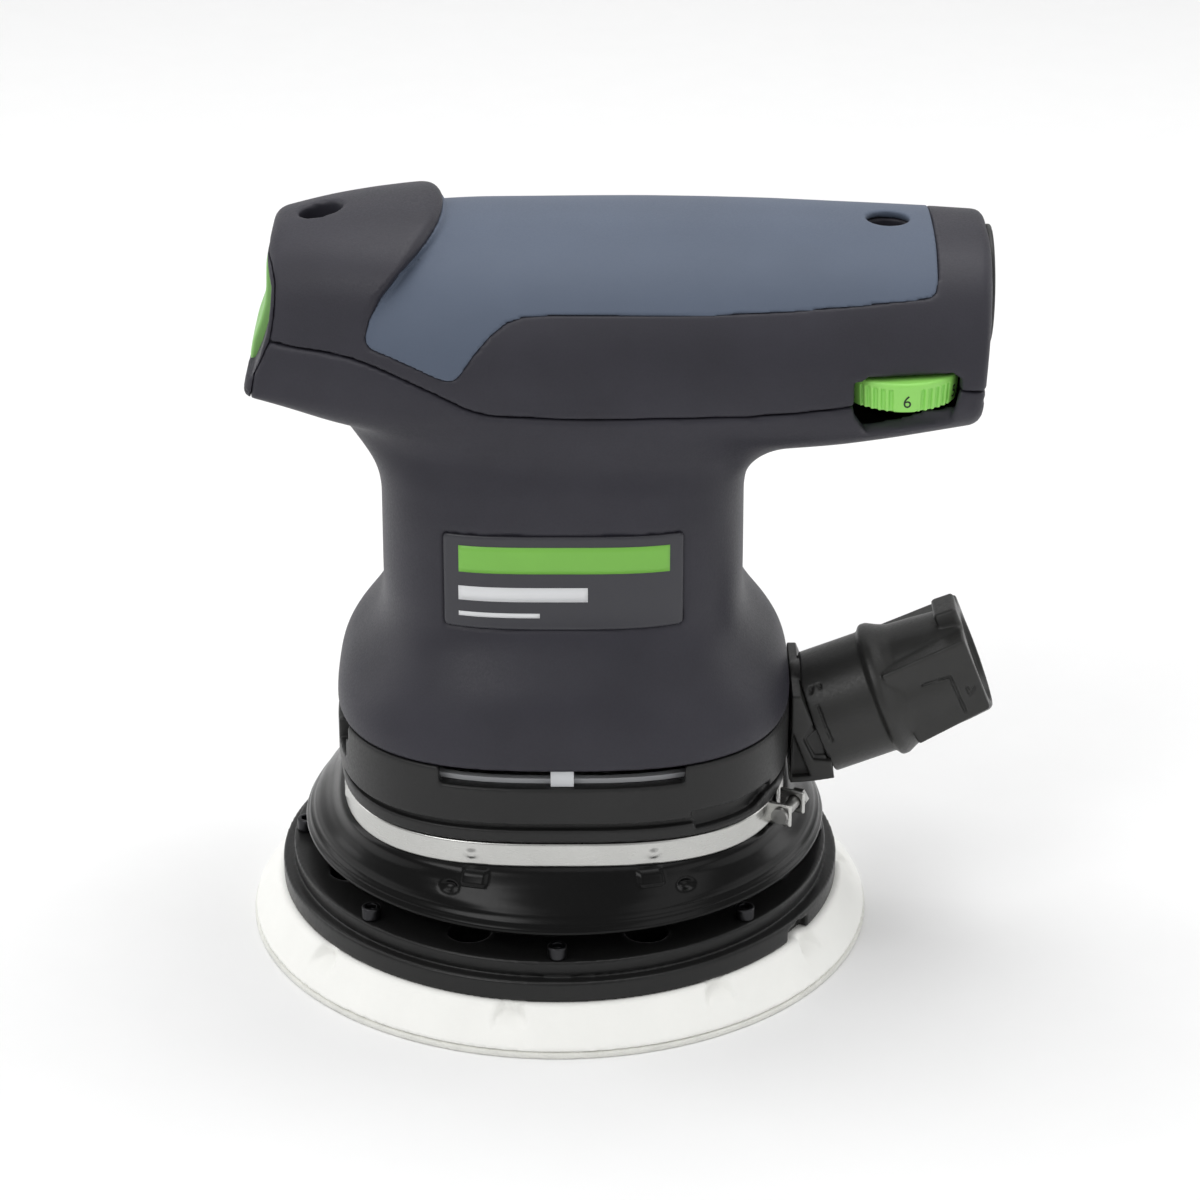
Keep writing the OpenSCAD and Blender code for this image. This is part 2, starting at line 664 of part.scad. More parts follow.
module housing_screws() color([0.55, 0.55, 0.56]) for (i = [0, 1])
    at(screw_x[i], 0, screw_seat_z[i] + 0.02) screw(1.3, i == 0 ? 19 : 13, 3.4, 2.4);

module supply_leads() color([0.15, 0.3, 0.6]) for (s = [-1, 1])
    wire([[66.3, s * 6.6, inlet_z], [60.5, s * 9.6, inlet_z + 1.7], [54.5, s * 10.5, 134],
        [47.5, s * 14, 130.2]]);

module motor_leads() color([0.6, 0.2, 0.15]) for (s = [-1, 1])
    wire([[19.5, s * 15.5, 125.8], [16, s * 15.5, 123], [24, s * 12, 117], [21, s * 9, 114.2]]);

// ---------- Controls ----------

// Side profile of the rocker: distance behind the front face, height from the pivot
rocker_profile = [
    [0.3, -rocker_half], [-0.1, -9.7], [-0.05, -6.1], [0.65, -2.1], [0.95, 1.3], [0.65, 4.6],
    [-0.15, 7.3], [-0.85, 9.5], [-0.4, rocker_half], [4.2, rocker_half], [4.2, -rocker_half]
];
front_x = handle[0][0] + handle_lean * (rocker_z - lean_z);

module switch_rocker() color([0.40, 0.72, 0.28]) union() {
    translate([front_x, rocker_w / 2, rocker_z]) rotate([90, 0, 0]) linear_extrude(rocker_w)
        polygon([for (p = rocker_profile) [p[0] + handle_lean * p[1], p[1]]]);
    at(rocker_x, rocker_w / 2 + 2, rocker_z) rotate([90, 0, 0])
        cylinder(r = rocker_pin_r, h = rocker_w + 4);
}

module speed_wheel() color([0.40, 0.80, 0.25]) difference() {
    union() {
        at(wheel_x, wheel_y, wheel_z[0]) cylinder(r1 = wheel_d / 2 - 0.5, r2 = wheel_d / 2, h = 2.4);
        at(wheel_x, wheel_y, wheel_z[0] + 2.4) cylinder(r = wheel_d / 2, h = wheel_z[1] - wheel_z[0] - 2.4);
    }
    at(wheel_x, wheel_y, wheel_z[0] - 1) cylinder(r = pot_shaft_r + 0.05, h = 10);
    for (i = [0 : 27]) rotate_about_wheel(i * 360 / 28) at(wheel_d / 2 + 0.15, 0, wheel_z[0] - 1)
        cylinder(r = 0.55, h = 10);
}

module rotate_about_wheel(a) translate([wheel_x, wheel_y, 0]) rotate(a) children();

// ---------- Armature and orbit drive ----------

module armature_shaft() color([0.72, 0.72, 0.74]) {
    at(z = 37.1) cylinder(r = shaft_r, h = 24.9);
    at(z = 62) cylinder(r = 4, h = bearing_top_z - 62);
    at(z = bearing_top_z) cylinder(r = shaft_top_r, h = 6.4);
}

module armature_core() color([0.42, 0.42, 0.44]) at(z = core_z[0]) difference() {
    cylinder(r = 15.5, h = core_z[1] - core_z[0]);
    at(z = -1) cylinder(r = 4.02, h = 60);
    for (a = [0 : 30 : 330]) rotate(a) at(14.2, 0, -1) cylinder(r = 1.1, h = 60);
}

module armature_windings() color([0.7, 0.4, 0.18]) {
    at(z = core_z[0] - 4.4) rotate_extrude() polygon([[4.1, 0], [11, 0], [14, 2], [14, 4.38], [4.1, 4.38]]);
    at(z = core_z[1] + 0.02) rotate_extrude() polygon([[4.1, 0], [14, 0], [14, 2.4], [10, 5.2], [4.1, 5.2]]);
    for (a = [0 : 30 : 330]) rotate(a) at(14.2, 0, core_z[0] - 1)
        cylinder(r = 1.05, h = core_z[1] - core_z[0] + 2);
}

module commutator() color([0.75, 0.5, 0.3]) at(z = 104.6) difference() {
    union() {
        cylinder(r = 10, h = 9.4);
        cylinder(r = 10.9, h = 1.2);
    }
    at(z = -1) cylinder(r = 4.02, h = 20);
    for (a = [0 : 15 : 345]) rotate(a) translate([9.2, -0.2, -1]) cube([3, 0.4, 20]);
}

module cooling_fan() color([0.2, 0.2, 0.22]) {
    at(z = 62.2) ring(8, 4.02, 6.4);
    at(z = 67.4) ring(26, 7.8, 1.2);
    for (a = [0 : 24 : 336]) rotate(a) translate([10, -0.5, 62]) rotate([0, 0, 14]) cube([15, 1, 5.6]);
}

module extraction_fan() color([0.25, 0.25, 0.26]) {
    at(z = 37.2) ring(13, 10.03, 5.8);
    at(z = 41.4) ring(34.5, 12.8, 1.6);
    for (a = [0 : 36 : 324]) rotate(a) translate([19, -0.6, 36]) rotate([0, 0, -18]) cube([14.5, 1.2, 5.6]);
}

module eccentric_hub() color([0.62, 0.62, 0.64]) difference() {
    union() {
        at(z = 18.8) cylinder(r = 18, h = 18.2);
        at(z = 36.8) cylinder(r = 10, h = 6.2);
    }
    at(-orbit, 0, 10) cylinder(r = 14, h = 25.2);
    at(z = 37.08) cylinder(r = shaft_r + 0.02, h = 20);
}

module counterweight() color([0.5, 0.48, 0.45]) at(z = 22.5) sector(25, 18.03, 9.5, -62, 62);

module pad_bearing(z) color([0.7, 0.7, 0.7]) at(-orbit, 0, z) ball_bearing(6 + fit, 13.98, pad_bearing_h);

module pad_bearing_upper() pad_bearing(pad_bearing_z[0]);

module pad_bearing_lower() pad_bearing(pad_bearing_z[1]);

module bearing_circlip() color([0.4, 0.4, 0.42]) at(-orbit, 0, 18.85) difference() {
    ring(13.97, 12.2, 0.4);
    translate([11, -1.5, -1]) cube([5, 3, 3]);
}

// ---------- Pad ----------

module pad_frame() at(-orbit) children();

module each_dust_hole() for (i = [0 : dust_holes - 1]) rotate(i * 360 / dust_holes + 22.5)
    at(dust_hole_pcd / 2) children();

module dust_hole_cuts() each_dust_hole() at(z = -1) cylinder(r = dust_hole_d / 2, h = 30);

module pad_spindle() color([0.68, 0.68, 0.7]) pad_frame() difference() {
    union() {
        at(z = z_plate + 0.02) cylinder(r = 11.6, h = 2.3);
        at(z = z_plate + 0.02) cylinder(r = 7.4, h = 2.86);
        at(z = z_plate) cylinder(r = 6, h = 18.4);
    }
    at(z = 10) cylinder(r = 4.05, h = 21);
}

module pad_plate() color([0.10, 0.10, 0.10]) pad_frame() difference() {
    rotate_extrude() polygon([
        [4.3, z_foam + 0.05], [50, z_foam + 0.05], [50, 8.9], [56.35, 8.9], [56.35, 13.1],
        [53.1, 13.1], [53.1, 13.8], [54, 13.8], [54, z_plate - 0.02], [4.3, z_plate - 0.02]]);
    dust_hole_cuts();
    rotate(-31.5) translate([53.6, -4.5, 5]) cube([8, 9, 7.2]);
}

module pad_foam() color([0.93, 0.93, 0.90]) pad_frame() difference() {
    rotate_extrude() polygon([
        [9.6, z_hook + 0.03], [pad_d / 2, z_hook + 0.03], [pad_d / 2 - 0.1, 2.6], [60.4, 4.6],
        [58.6, 6.8], [57.4, 8.85], [49.95, 8.85], [49.95, z_foam], [9.6, z_foam]]);
    dust_hole_cuts();
    for (i = [0 : 7]) rotate(i * 45 - 8.5) at(59.4, 0, 4.2) cylinder(r = 4.6, h = 10);
}

module hook_face() color([0.85, 0.85, 0.82]) pad_frame() difference() {
    cylinder(r = pad_d / 2, h = z_hook);
    at(z = -1) cylinder(r = 9.6, h = 5);
    dust_hole_cuts();
}

module pad_screw() color([0.3, 0.3, 0.32]) pad_frame() difference() {
    union() {
        at(z = 11.2) cylinder(r = 4, h = 17);
        at(z = 5.4) cylinder(r = 6.5, h = 5.8);
    }
    at(z = 4) cylinder(r = 2.9, h = 4.6, $fn = 6);
}

module pad_washer() color([0.6, 0.6, 0.6]) pad_frame() at(z = 11.22) ring(8.6, 4.1, 1.65);

module pad_posts() color([0.5, 0.5, 0.5]) pad_frame() for (a = [0 : 45 : 315]) rotate(a)
    at(51.6, 0, z_plate) difference() {
        cylinder(r = 1.9, h = 2.6, $fn = 24);
        at(z = 1.4) cylinder(r = 1, h = 3, $fn = 6);
    }

upper_shell();
grip_panel();
lower_shell();
front_cap();
label_plate();
fan_housing();
air_guide_ring();
dust_duct();
dust_connector();
skirt();
clamp_band();
clamp_screw();
bearing_bridge();
bridge_screws();
lower_bearing();
upper_bearing();
bearing_sleeve();
motor_cap();
motor_cap_screws();
stator_core();
field_coils();
brush_holders();
carbon_brushes();
brush_springs();
brush_caps();
circuit_board();
interference_capacitor();
power_triac();
potentiometer();
plug_inlet();
inlet_pins();
switch_module();
housing_screws();
supply_leads();
motor_leads();
switch_rocker();
speed_wheel();
armature_shaft();
armature_core();
armature_windings();
commutator();
cooling_fan();
extraction_fan();
eccentric_hub();
counterweight();
pad_bearing_upper();
pad_bearing_lower();
bearing_circlip();
pad_spindle();
pad_plate();
pad_foam();
hook_face();
pad_screw();
pad_washer();
pad_posts();
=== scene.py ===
import json
import math

import bmesh
import bpy
import numpy as np
import openvdb
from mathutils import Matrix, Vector


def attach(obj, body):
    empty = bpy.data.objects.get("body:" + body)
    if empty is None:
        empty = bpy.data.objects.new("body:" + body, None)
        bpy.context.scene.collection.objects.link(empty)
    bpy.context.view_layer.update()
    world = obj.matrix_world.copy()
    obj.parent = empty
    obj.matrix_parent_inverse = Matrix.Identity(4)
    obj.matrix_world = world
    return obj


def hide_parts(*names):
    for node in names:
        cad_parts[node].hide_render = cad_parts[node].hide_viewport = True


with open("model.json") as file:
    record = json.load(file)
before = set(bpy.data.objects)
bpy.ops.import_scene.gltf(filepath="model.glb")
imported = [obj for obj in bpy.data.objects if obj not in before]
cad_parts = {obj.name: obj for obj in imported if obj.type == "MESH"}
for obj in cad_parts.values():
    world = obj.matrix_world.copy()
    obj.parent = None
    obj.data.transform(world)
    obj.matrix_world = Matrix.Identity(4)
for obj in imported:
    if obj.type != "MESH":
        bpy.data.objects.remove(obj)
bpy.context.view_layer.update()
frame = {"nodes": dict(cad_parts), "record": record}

MM = 0.001


# ---------- Curves and distance fields, in millimetres ----------

def curve(points, soft=0.8):
    """A smooth function through a list of (position, value) pairs."""
    xs, ys = np.array(points, float).T
    fine = np.arange(xs[0] - 6, xs[-1] + 6, 0.1)
    values = np.interp(fine, xs, ys)
    reach = np.arange(-3 * soft, 3 * soft + 0.05, 0.1)
    weight = np.exp(-((reach / soft) ** 2) / 2)
    values = np.convolve(np.pad(values, len(reach) // 2, mode="edge"), weight / weight.sum(), "valid")
    return lambda x: np.interp(x, fine, values[: len(fine)]).astype(np.float32)


def smax(a, b, k):
    """Intersection whose edge has a radius of about k."""
    h = np.clip(0.5 - 0.5 * (b - a) / k, 0, 1)
    return b + (a - b) * h + k * h * (1 - h)


def smin(a, b, k):
    return -smax(-a, -b, k)


def minus(a, b, k=0.4):
    return smax(a, -b, k)


def step(t):
    t = np.clip(t, 0, 1)
    return t * t * (3 - 2 * t)


def squircle(x, y, a, b, n):
    """Distance from a superellipse with half axes a and b."""
    spread = (np.abs(x / a) ** n + np.abs(y / b) ** n) ** (1 / n)
    r = np.hypot(x, y)
    return r - r / np.maximum(spread, 1e-3)


def polygon_distance(x, y, points):
    """Distance from a polygon, negative inside."""
    best = np.full(np.broadcast(x, y).shape, 1e9, np.float32)
    inside = np.zeros(best.shape, bool)
    for (ax, ay), (bx, by) in zip(points, points[1:] + points[:1]):
        ex, ey = bx - ax, by - ay
        t = np.clip(((x - ax) * ex + (y - ay) * ey) / (ex * ex + ey * ey), 0, 1)
        best = np.minimum(best, np.hypot(x - ax - t * ex, y - ay - t * ey))
        crosses = (ay > y) != (by > y)
        inside ^= crosses & (x < (bx - ax) * (y - ay) / (by - ay if by != ay else 1e-9) + ax)
    return np.where(inside, -best, best).astype(np.float32)


def box_field(x, y, z, lo, hi, r=0.0):
    """Distance from a box with edges of radius r."""
    d = [np.abs(v - (a + b) / 2) - (b - a) / 2 + r for v, a, b in zip((x, y, z), lo, hi)]
    outside = np.sqrt(sum(np.maximum(v, 0) ** 2 for v in d))
    return outside + np.minimum(np.maximum(np.maximum(d[0], d[1]), d[2]), 0) - r


class Grid:
    """A block of space sampled at a fixed pitch."""

    def __init__(self, lo, hi, pitch):
        self.lo, self.pitch = lo, pitch
        axes = [np.arange(a, b + pitch, pitch, dtype=np.float32) for a, b in zip(lo, hi)]
        self.x = axes[0][:, None, None]
        self.y = axes[1][None, :, None]
        self.z = axes[2][None, None, :]

    def level(self, d):
        """The field scaled so that it measures distance."""
        d = np.broadcast_to(d, (self.x.size, self.y.size, self.z.size)).astype(np.float32)
        slope = np.sqrt(sum(g * g for g in np.gradient(d, self.pitch)))
        return d / np.clip(slope, 0.5, 3)

    def surface(self, d):
        """Vertices and faces of the zero surface."""
        d = np.broadcast_to(d, (self.x.size, self.y.size, self.z.size)).astype(np.float32).copy()
        for face in (d[0], d[-1], d[:, 0], d[:, -1], d[:, :, 0], d[:, :, -1]):
            np.maximum(face, 0.5 * self.pitch, out=face)
        volume = openvdb.FloatGrid(background=3 * self.pitch)
        volume.copyFromArray(np.clip(d, -3 * self.pitch, 3 * self.pitch))
        points, quads = volume.convertToQuads(0.0)
        return points * self.pitch + np.array(self.lo), quads


# ---------- Pieces ----------

def piece(name, points, faces, body, material, slot, replaces=(), smooth=True):
    """A mesh object from points in millimetres, riding on a CAD body."""
    mesh = bpy.data.meshes.new(name)
    faces = [tuple(int(i) for i in f) for f in faces] if not isinstance(faces, np.ndarray) else faces
    points = np.asarray(points, np.float32) * MM
    if isinstance(faces, np.ndarray):
        count, sides = faces.shape
        mesh.vertices.add(len(points))
        mesh.vertices.foreach_set("co", points.ravel())
        mesh.loops.add(count * sides)
        mesh.loops.foreach_set("vertex_index", faces.astype(np.int32).ravel())
        mesh.polygons.add(count)
        mesh.polygons.foreach_set("loop_start", np.arange(0, count * sides, sides, dtype=np.int32))
        mesh.update(calc_edges=True)
    else:
        mesh.from_pydata([tuple(p) for p in points], [], faces)
    shell = bmesh.new()
    shell.from_mesh(mesh)
    bmesh.ops.remove_doubles(shell, verts=shell.verts, dist=1e-6)
    loose = [v for v in shell.verts if not v.link_faces]
    bmesh.ops.delete(shell, geom=loose, context="VERTS")
    if shell.calc_volume(signed=True) < 0:
        bmesh.ops.reverse_faces(shell, faces=shell.faces)
    shell.to_mesh(mesh)
    shell.free()
    mesh.validate()
    if smooth:
        mesh.polygons.foreach_set("use_smooth", [True] * len(mesh.polygons))
    ob = bpy.data.objects.new(name, mesh)
    bpy.context.scene.collection.objects.link(ob)
    mesh.materials.append(material)
    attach(ob, body)
    if replaces:
        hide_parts(*replaces)
    return ob


def carve(name, grid, field, *rest, **more):
    points, quads = grid.surface(field)
    return piece(name, points, quads, *rest, **more)


def loft(rings, closed=True):
    """Points and faces through rings of equal length. closed joins the last ring to the first."""
    m = len(rings[0])
    points = np.concatenate([np.asarray(r, float) for r in rings])
    i = np.arange(m)
    j = (i + 1) % m
    faces = []
    for k in range(len(rings) if closed else len(rings) - 1):
        a, b = k * m, (k + 1) % len(rings) * m
        faces.append(np.stack([a + i, a + j, b + j, b + i], axis=1))
    return points, np.concatenate(faces)


def merge(parts):
    """One set of points and faces from several."""
    points, faces, base = [], [], 0
    for p, f in parts:
        points.append(np.asarray(p, float))
        faces += [tuple(int(i) + base for i in face) for face in f]
        base += len(p)
    return np.concatenate(points), faces


# ---------- Materials ----------

def rgb(*levels):
    """Linear colour from screen levels of 0 to 255."""
    return tuple(((v / 255) / 12.92 if v <= 10 else (((v / 255) + 0.055) / 1.055) ** 2.4) for v in levels)


def noise(tree, scale, detail=2.0, rough=0.5, stretch=(1, 1, 1)):
    place = tree.nodes.new("ShaderNodeTexCoord")
    move = tree.nodes.new("ShaderNodeMapping")
    move.inputs["Scale"].default_value = stretch
    tree.links.new(place.outputs["Object"], move.inputs["Vector"])
    node = tree.nodes.new("ShaderNodeTexNoise")
    node.inputs["Scale"].default_value = scale
    node.inputs["Detail"].default_value = detail
    node.inputs["Roughness"].default_value = rough
    tree.links.new(move.outputs["Vector"], node.inputs["Vector"])
    return node.outputs["Fac"]


def ramp(tree, source, stops):
    node = tree.nodes.new("ShaderNodeValToRGB")
    while len(node.color_ramp.elements) < len(stops):
        node.color_ramp.elements.new(0.5)
    for element, (where, colour) in zip(node.color_ramp.elements, stops):
        element.position = where
        element.color = (*colour, 1) if len(colour) == 3 else colour
    tree.links.new(source, node.inputs["Fac"])
    return node.outputs["Color"]


def material(name, colour, rough, metal=0.0, specular=0.5, vary=0.12, grain=1500, depth=0.02,
             blotch=60, rough_vary=0.06, stretch=(1, 1, 1), coat=0.0, sheen=0.0, detail=2.0):
    """A moulded, cast or machined surface: cloudy colour, uneven gloss and a fine bumped grain."""
    mat = bpy.data.materials.new(name)
    mat.use_nodes = True
    tree = mat.node_tree
    shader = tree.nodes["Principled BSDF"]
    shader.inputs["Metallic"].default_value = metal
    shader.inputs["Specular IOR Level"].default_value = specular
    shader.inputs["Coat Weight"].default_value = coat
    shader.inputs["Coat Roughness"].default_value = 0.15
    shader.inputs["Sheen Weight"].default_value = sheen
    dark = [v * (1 - vary) for v in colour]
    light = [min(1, v * (1 + vary)) for v in colour]
    clouds = noise(tree, blotch, 4.0, 0.6)
    tree.links.new(ramp(tree, clouds, [(0.3, dark), (0.7, light)]), shader.inputs["Base Color"])
    fine = noise(tree, grain, detail, 0.6, stretch)
    low, high = max(0.02, rough - rough_vary), min(1, rough + rough_vary)
    tree.links.new(ramp(tree, fine, [(0.3, (low,) * 3), (0.7, (high,) * 3)]), shader.inputs["Roughness"])
    bump = tree.nodes.new("ShaderNodeBump")
    bump.inputs["Strength"].default_value = 1.0
    bump.inputs["Distance"].default_value = depth * MM
    tree.links.new(fine, bump.inputs["Height"])
    tree.links.new(bump.outputs["Normal"], shader.inputs["Normal"])
    return mat


HOUSING = material("housing_plastic", rgb(46, 45, 53), 0.52, specular=0.36, grain=2200, depth=0.03, blotch=45)
GRIP = material("soft_grip", rgb(84, 94, 111), 0.62, specular=0.32, grain=2600, depth=0.012, blotch=30,
                vary=0.06, sheen=0.05)
LABEL = material("label_film", rgb(52, 52, 58), 0.4, grain=3000, depth=0.006, vary=0.05)
GREEN_INK = material("green_ink", rgb(122, 188, 74), 0.42, grain=2600, depth=0.004, vary=0.05)
PALE_INK = material("pale_ink", rgb(225, 226, 228), 0.42, grain=2600, depth=0.004, vary=0.03)
DARK_INK = material("dark_ink", rgb(28, 44, 22), 0.5, grain=2600, depth=0.004, vary=0.05)
BASE = material("base_plastic", rgb(30, 30, 30), 0.44, specular=0.36, grain=1800, depth=0.012, blotch=70)
PORT = material("port_plastic", rgb(42, 42, 41), 0.42, specular=0.42, grain=1700, depth=0.025, blotch=60)
PALE = material("grey_plastic", rgb(205, 207, 210), 0.45, grain=1800, depth=0.01, vary=0.04)
SKIRT = material("skirt_rubber", rgb(7, 7, 7), 0.24, specular=0.2, grain=900, depth=0.0008, blotch=50,
                 rough_vary=0.02)
PLATE = material("pad_plastic", rgb(20, 20, 20), 0.36, specular=0.36, grain=1400, depth=0.004, blotch=60)
GREEN = material("wheel_plastic", rgb(150, 222, 104), 0.42, grain=2200, depth=0.012, vary=0.05)
LEAF = material("rocker_plastic", rgb(136, 192, 108), 0.45, grain=2200, depth=0.014, vary=0.05)
BAND = material("band_steel", rgb(196, 196, 193), 0.3, metal=1.0, grain=420, depth=0.0015, blotch=120,
                vary=0.04, rough_vary=0.04, stretch=(1, 1, 22))
ZINC = material("fastener_steel", rgb(150, 150, 148), 0.34, metal=1.0, grain=1500, depth=0.006, vary=0.1)
BLACK_ZINC = material("black_zinc", rgb(58, 58, 60), 0.36, metal=1.0, grain=1500, depth=0.006, vary=0.1)
STEEL = material("bearing_steel", rgb(196, 196, 198), 0.22, metal=1.0, grain=700, depth=0.003, vary=0.05,
                 stretch=(1, 1, 18))
ALLOY = material("cast_alloy", rgb(188, 188, 190), 0.46, metal=1.0, grain=1100, depth=0.03, vary=0.07)
LAMINATED = material("lamination_steel", rgb(120, 120, 122), 0.4, metal=1.0, grain=260, depth=0.06, vary=0.12,
                     stretch=(0.05, 0.05, 8))
COPPER = material("copper_winding", rgb(176, 92, 44), 0.3, metal=1.0, grain=320, depth=0.16, vary=0.2,
                  stretch=(0.12, 0.12, 6))
BRASS = material("contact_brass", rgb(206, 172, 98), 0.28, metal=1.0, grain=900, depth=0.004, vary=0.08)
CARBON = material("carbon", rgb(34, 34, 35), 0.7, grain=2400, depth=0.02, vary=0.2)
BOARD = material("board_laminate", rgb(30, 92, 52), 0.35, grain=1500, depth=0.01, vary=0.15)
AMBER = material("capacitor_film", rgb(196, 150, 40), 0.25, grain=800, depth=0.006, vary=0.06)
BLUE = material("blue_insulation", rgb(36, 74, 150), 0.4, grain=1200, depth=0.006, vary=0.06)
RED = material("red_insulation", rgb(150, 38, 32), 0.4, grain=1200, depth=0.006, vary=0.06)
IRON = material("cast_iron", rgb(96, 94, 90), 0.6, metal=1.0, grain=800, depth=0.05, vary=0.15)
RUBBER = material("sleeve_rubber", rgb(30, 30, 30), 0.7, grain=1600, depth=0.02, vary=0.1)
INLET = material("inlet_plastic", rgb(36, 36, 37), 0.45, grain=1700, depth=0.015, vary=0.08)
FOAM = material("pad_foam", rgb(252, 252, 248), 0.75, specular=0.25, grain=1300, depth=0.05, blotch=90,
                vary=0.02, sheen=0.1)
HOOKS = material("hook_fabric", rgb(240, 240, 234), 0.9, specular=0.1, grain=1900, depth=0.35, blotch=160,
                 vary=0.07, sheen=0.3, detail=5.0)

FINISHES = {
    "housing_plastic": HOUSING, "soft_grip": GRIP, "label_film": LABEL, "base_plastic": BASE,
    "grey_plastic": PALE, "skirt_rubber": SKIRT, "band_steel": BAND, "fastener_steel": ZINC,
    "cast_alloy": ALLOY, "bearing_steel": STEEL, "sleeve_rubber": RUBBER, "motor_plastic": INLET,
    "lamination_steel": LAMINATED, "copper_winding": COPPER, "contact_brass": BRASS, "carbon": CARBON,
    "spring_steel": STEEL, "board_laminate": BOARD, "capacitor_film": AMBER, "pot_plastic": BLUE,
    "inlet_plastic": INLET, "blue_insulation": BLUE, "red_insulation": RED, "rocker_plastic": LEAF,
    "wheel_plastic": GREEN, "commutator_copper": COPPER, "cast_iron": IRON, "pad_plastic": PLATE,
    "pad_foam": FOAM, "hook_fabric": HOOKS,
}
for part in frame["record"]["subparts"]:
    node = frame["nodes"][part["node"]]
    node.data.materials.clear()
    node.data.materials.append(FINISHES[part["material_slot"]])


# ---------- Housing ----------

LEAN, LEAN_Z = 0.195, 118
FRONT_X = -60.5
HANDLE_Z, HANDLE_N = 121, 2.4
TOP = curve([(-62, 143.6), (-51, 145.6), (-44, 146.7), (-37, 147.6), (-24.5, 148.7), (-16.5, 149), (-8, 149),
             (4, 149.1), (16, 149.15), (28, 149), (40, 148.75), (52, 148.3), (62, 148), (71, 147.7),
             (82, 147.2)], 2.5)
UNDER = curve([(-62, 118.4), (-56.5, 116.8), (-51, 115), (-44, 112.5), (-37, 110.8), (-31.5, 109.4),
               (-24.5, 108), (-8, 106.6), (16, 106.3), (28, 106.3), (40, 106.6), (52, 107.4),
               (62, 108.8), (71, 110.4), (82, 112.3)], 2.5)
WIDTH = curve([(-62, 20.4), (-56.5, 22.4), (-51, 24), (-44, 26.2), (-37, 28.2), (-31.5, 29.6), (-24.5, 31),
               (-16.5, 32), (-8, 32.4), (4, 32.6), (16, 32.6), (28, 32.2), (40, 31.5), (52, 30.4), (62, 29.2),
               (71, 27.9), (82, 26)], 2.5)
HOOD = curve([(-60, 3.5), (-50, 3.9), (-44, 4.1), (-36, 4.1), (-24, 4.1)], 1.5)
BODY_A = curve([(50, 44.9), (55.4, 44.8), (58, 44), (60.9, 42.3), (63.9, 39.9), (66.9, 37.8), (69.9, 36.2),
                (72.9, 35.4), (76, 35.2), (98, 35.1), (101.5, 35.7), (104.5, 37), (107, 39.2), (110, 42.4),
                (120, 44)], 1.2)
BODY_B = curve([(50, 43.9), (55.4, 43.6), (58, 43.3), (60.9, 42.9), (63.9, 42.2), (66.9, 40.8), (69.9, 38.4),
                (72.9, 35.7), (76, 33.9), (79.6, 33.2), (98, 33), (104.5, 32.6), (112, 31), (120, 29)], 1.2)
BODY_N = curve([(50, 2.85), (56, 2.8), (59, 2.7), (65, 2.6), (71, 2.7), (74, 2.9), (77, 3.1), (80.5, 3.35),
                (98, 3.5), (104, 3.1), (109, 2.4), (120, 2.2)], 1.5)
SEAM = [(-70, 131.6), (-55, 130.9), (-50, 130.4), (-44.5, 130.2), (-40, 129.9), (-35.4, 128.8), (-31, 127.3),
        (-26.7, 125.6), (-22.4, 123.8), (-18.1, 121.7), (-14.5, 120.5), (-8, 120.2), (4, 120), (36, 120.1),
        (48, 120.8), (56, 121.6), (64, 122.6), (72, 123.5), (75, 123.4), (79.5, 122.6), (90, 122.6)]
GRIP_EDGE = [(-20.8, 160), (-20.9, 153), (-21.8, 151), (-24.8, 148.6), (-30, 144.4), (-33.4, 140.6),
             (-35.4, 137)]
GRIP_OUTLINE = GRIP_EDGE + [
    (-36.3, 133.8), (-36, 132.4), (-34.8, 131.6), (-31.7, 130.7), (-26.7, 128.9), (-23, 127.4), (-21.1, 126.9),
    (-19.6, 127.3), (-18.7, 128.2), (-16.2, 131.8), (-13.1, 135.2), (-10, 137.4), (-6.9, 138.3), (-2, 138.6),
    (29, 138.5), (48, 139), (60, 139.5), (68, 139.9), (69.4, 140.4), (70, 142), (70.2, 146), (69.8, 160)]
SCREW_X, SEAT_Z = (-45.7, 61.8), (138, 130)
WHEEL_X, WHEEL_Y, WHEEL_Z, WHEEL_R = 63.6, -19.7, (120.4, 126.2), 11
GRIP_T, WALL = 1.4, 2.6
LABEL_BOX = (-22.6, 23.2, 77.1, 96.5)
# Distance behind the front plane and height: the cap's rear edge and the finger recess across it
CAP_EDGE = [(1.6, 100), (1.6, 124.5), (2.6, 128), (3.4, 131), (3.4, 134.5), (3.1, 138), (2.6, 141),
            (1.5, 143.5), (0, 145.2), (-12, 145.2), (-12, 100)]
CAP_RECESS = [(-9, 123.2), (1.1, 123.8), (2, 127.4), (2.6, 132), (2.6, 134.5), (2.4, 137.3), (2, 140.4),
              (1, 142.5), (0, 144.4), (-9, 144.4)]
Z_SPLIT = 52


def front_distance(g):
    """Distance behind the plane of the handle's front."""
    return g.x - FRONT_X - LEAN * (g.z - LEAN_Z)


def front_outline(g, points):
    """A side-view outline given as distances behind the front plane and heights."""
    return side_view(g, [(FRONT_X + LEAN * (z - LEAN_Z) + d, z) for d, z in points])


def handle_field(g):
    along = g.x - LEAN * (g.z - LEAN_Z) * np.clip((-30 - g.x) / 28, 0, 1)
    up, down, wide = TOP(along) - HANDLE_Z, HANDLE_Z - UNDER(along), WIDTH(along)
    tall = np.where(g.z > HANDLE_Z, up, down)
    round_section = squircle(g.y, (g.z - HANDLE_Z) * wide / tall, wide, wide, HANDLE_N)
    return round_section * np.minimum(1, tall / wide + 0.1)


def body_field(g):
    d = squircle(g.x, g.y, BODY_A(g.z), BODY_B(g.z), BODY_N(g.z))
    return smax(smax(d, Z_SPLIT - g.z, 0.7), g.z - 119, 2)


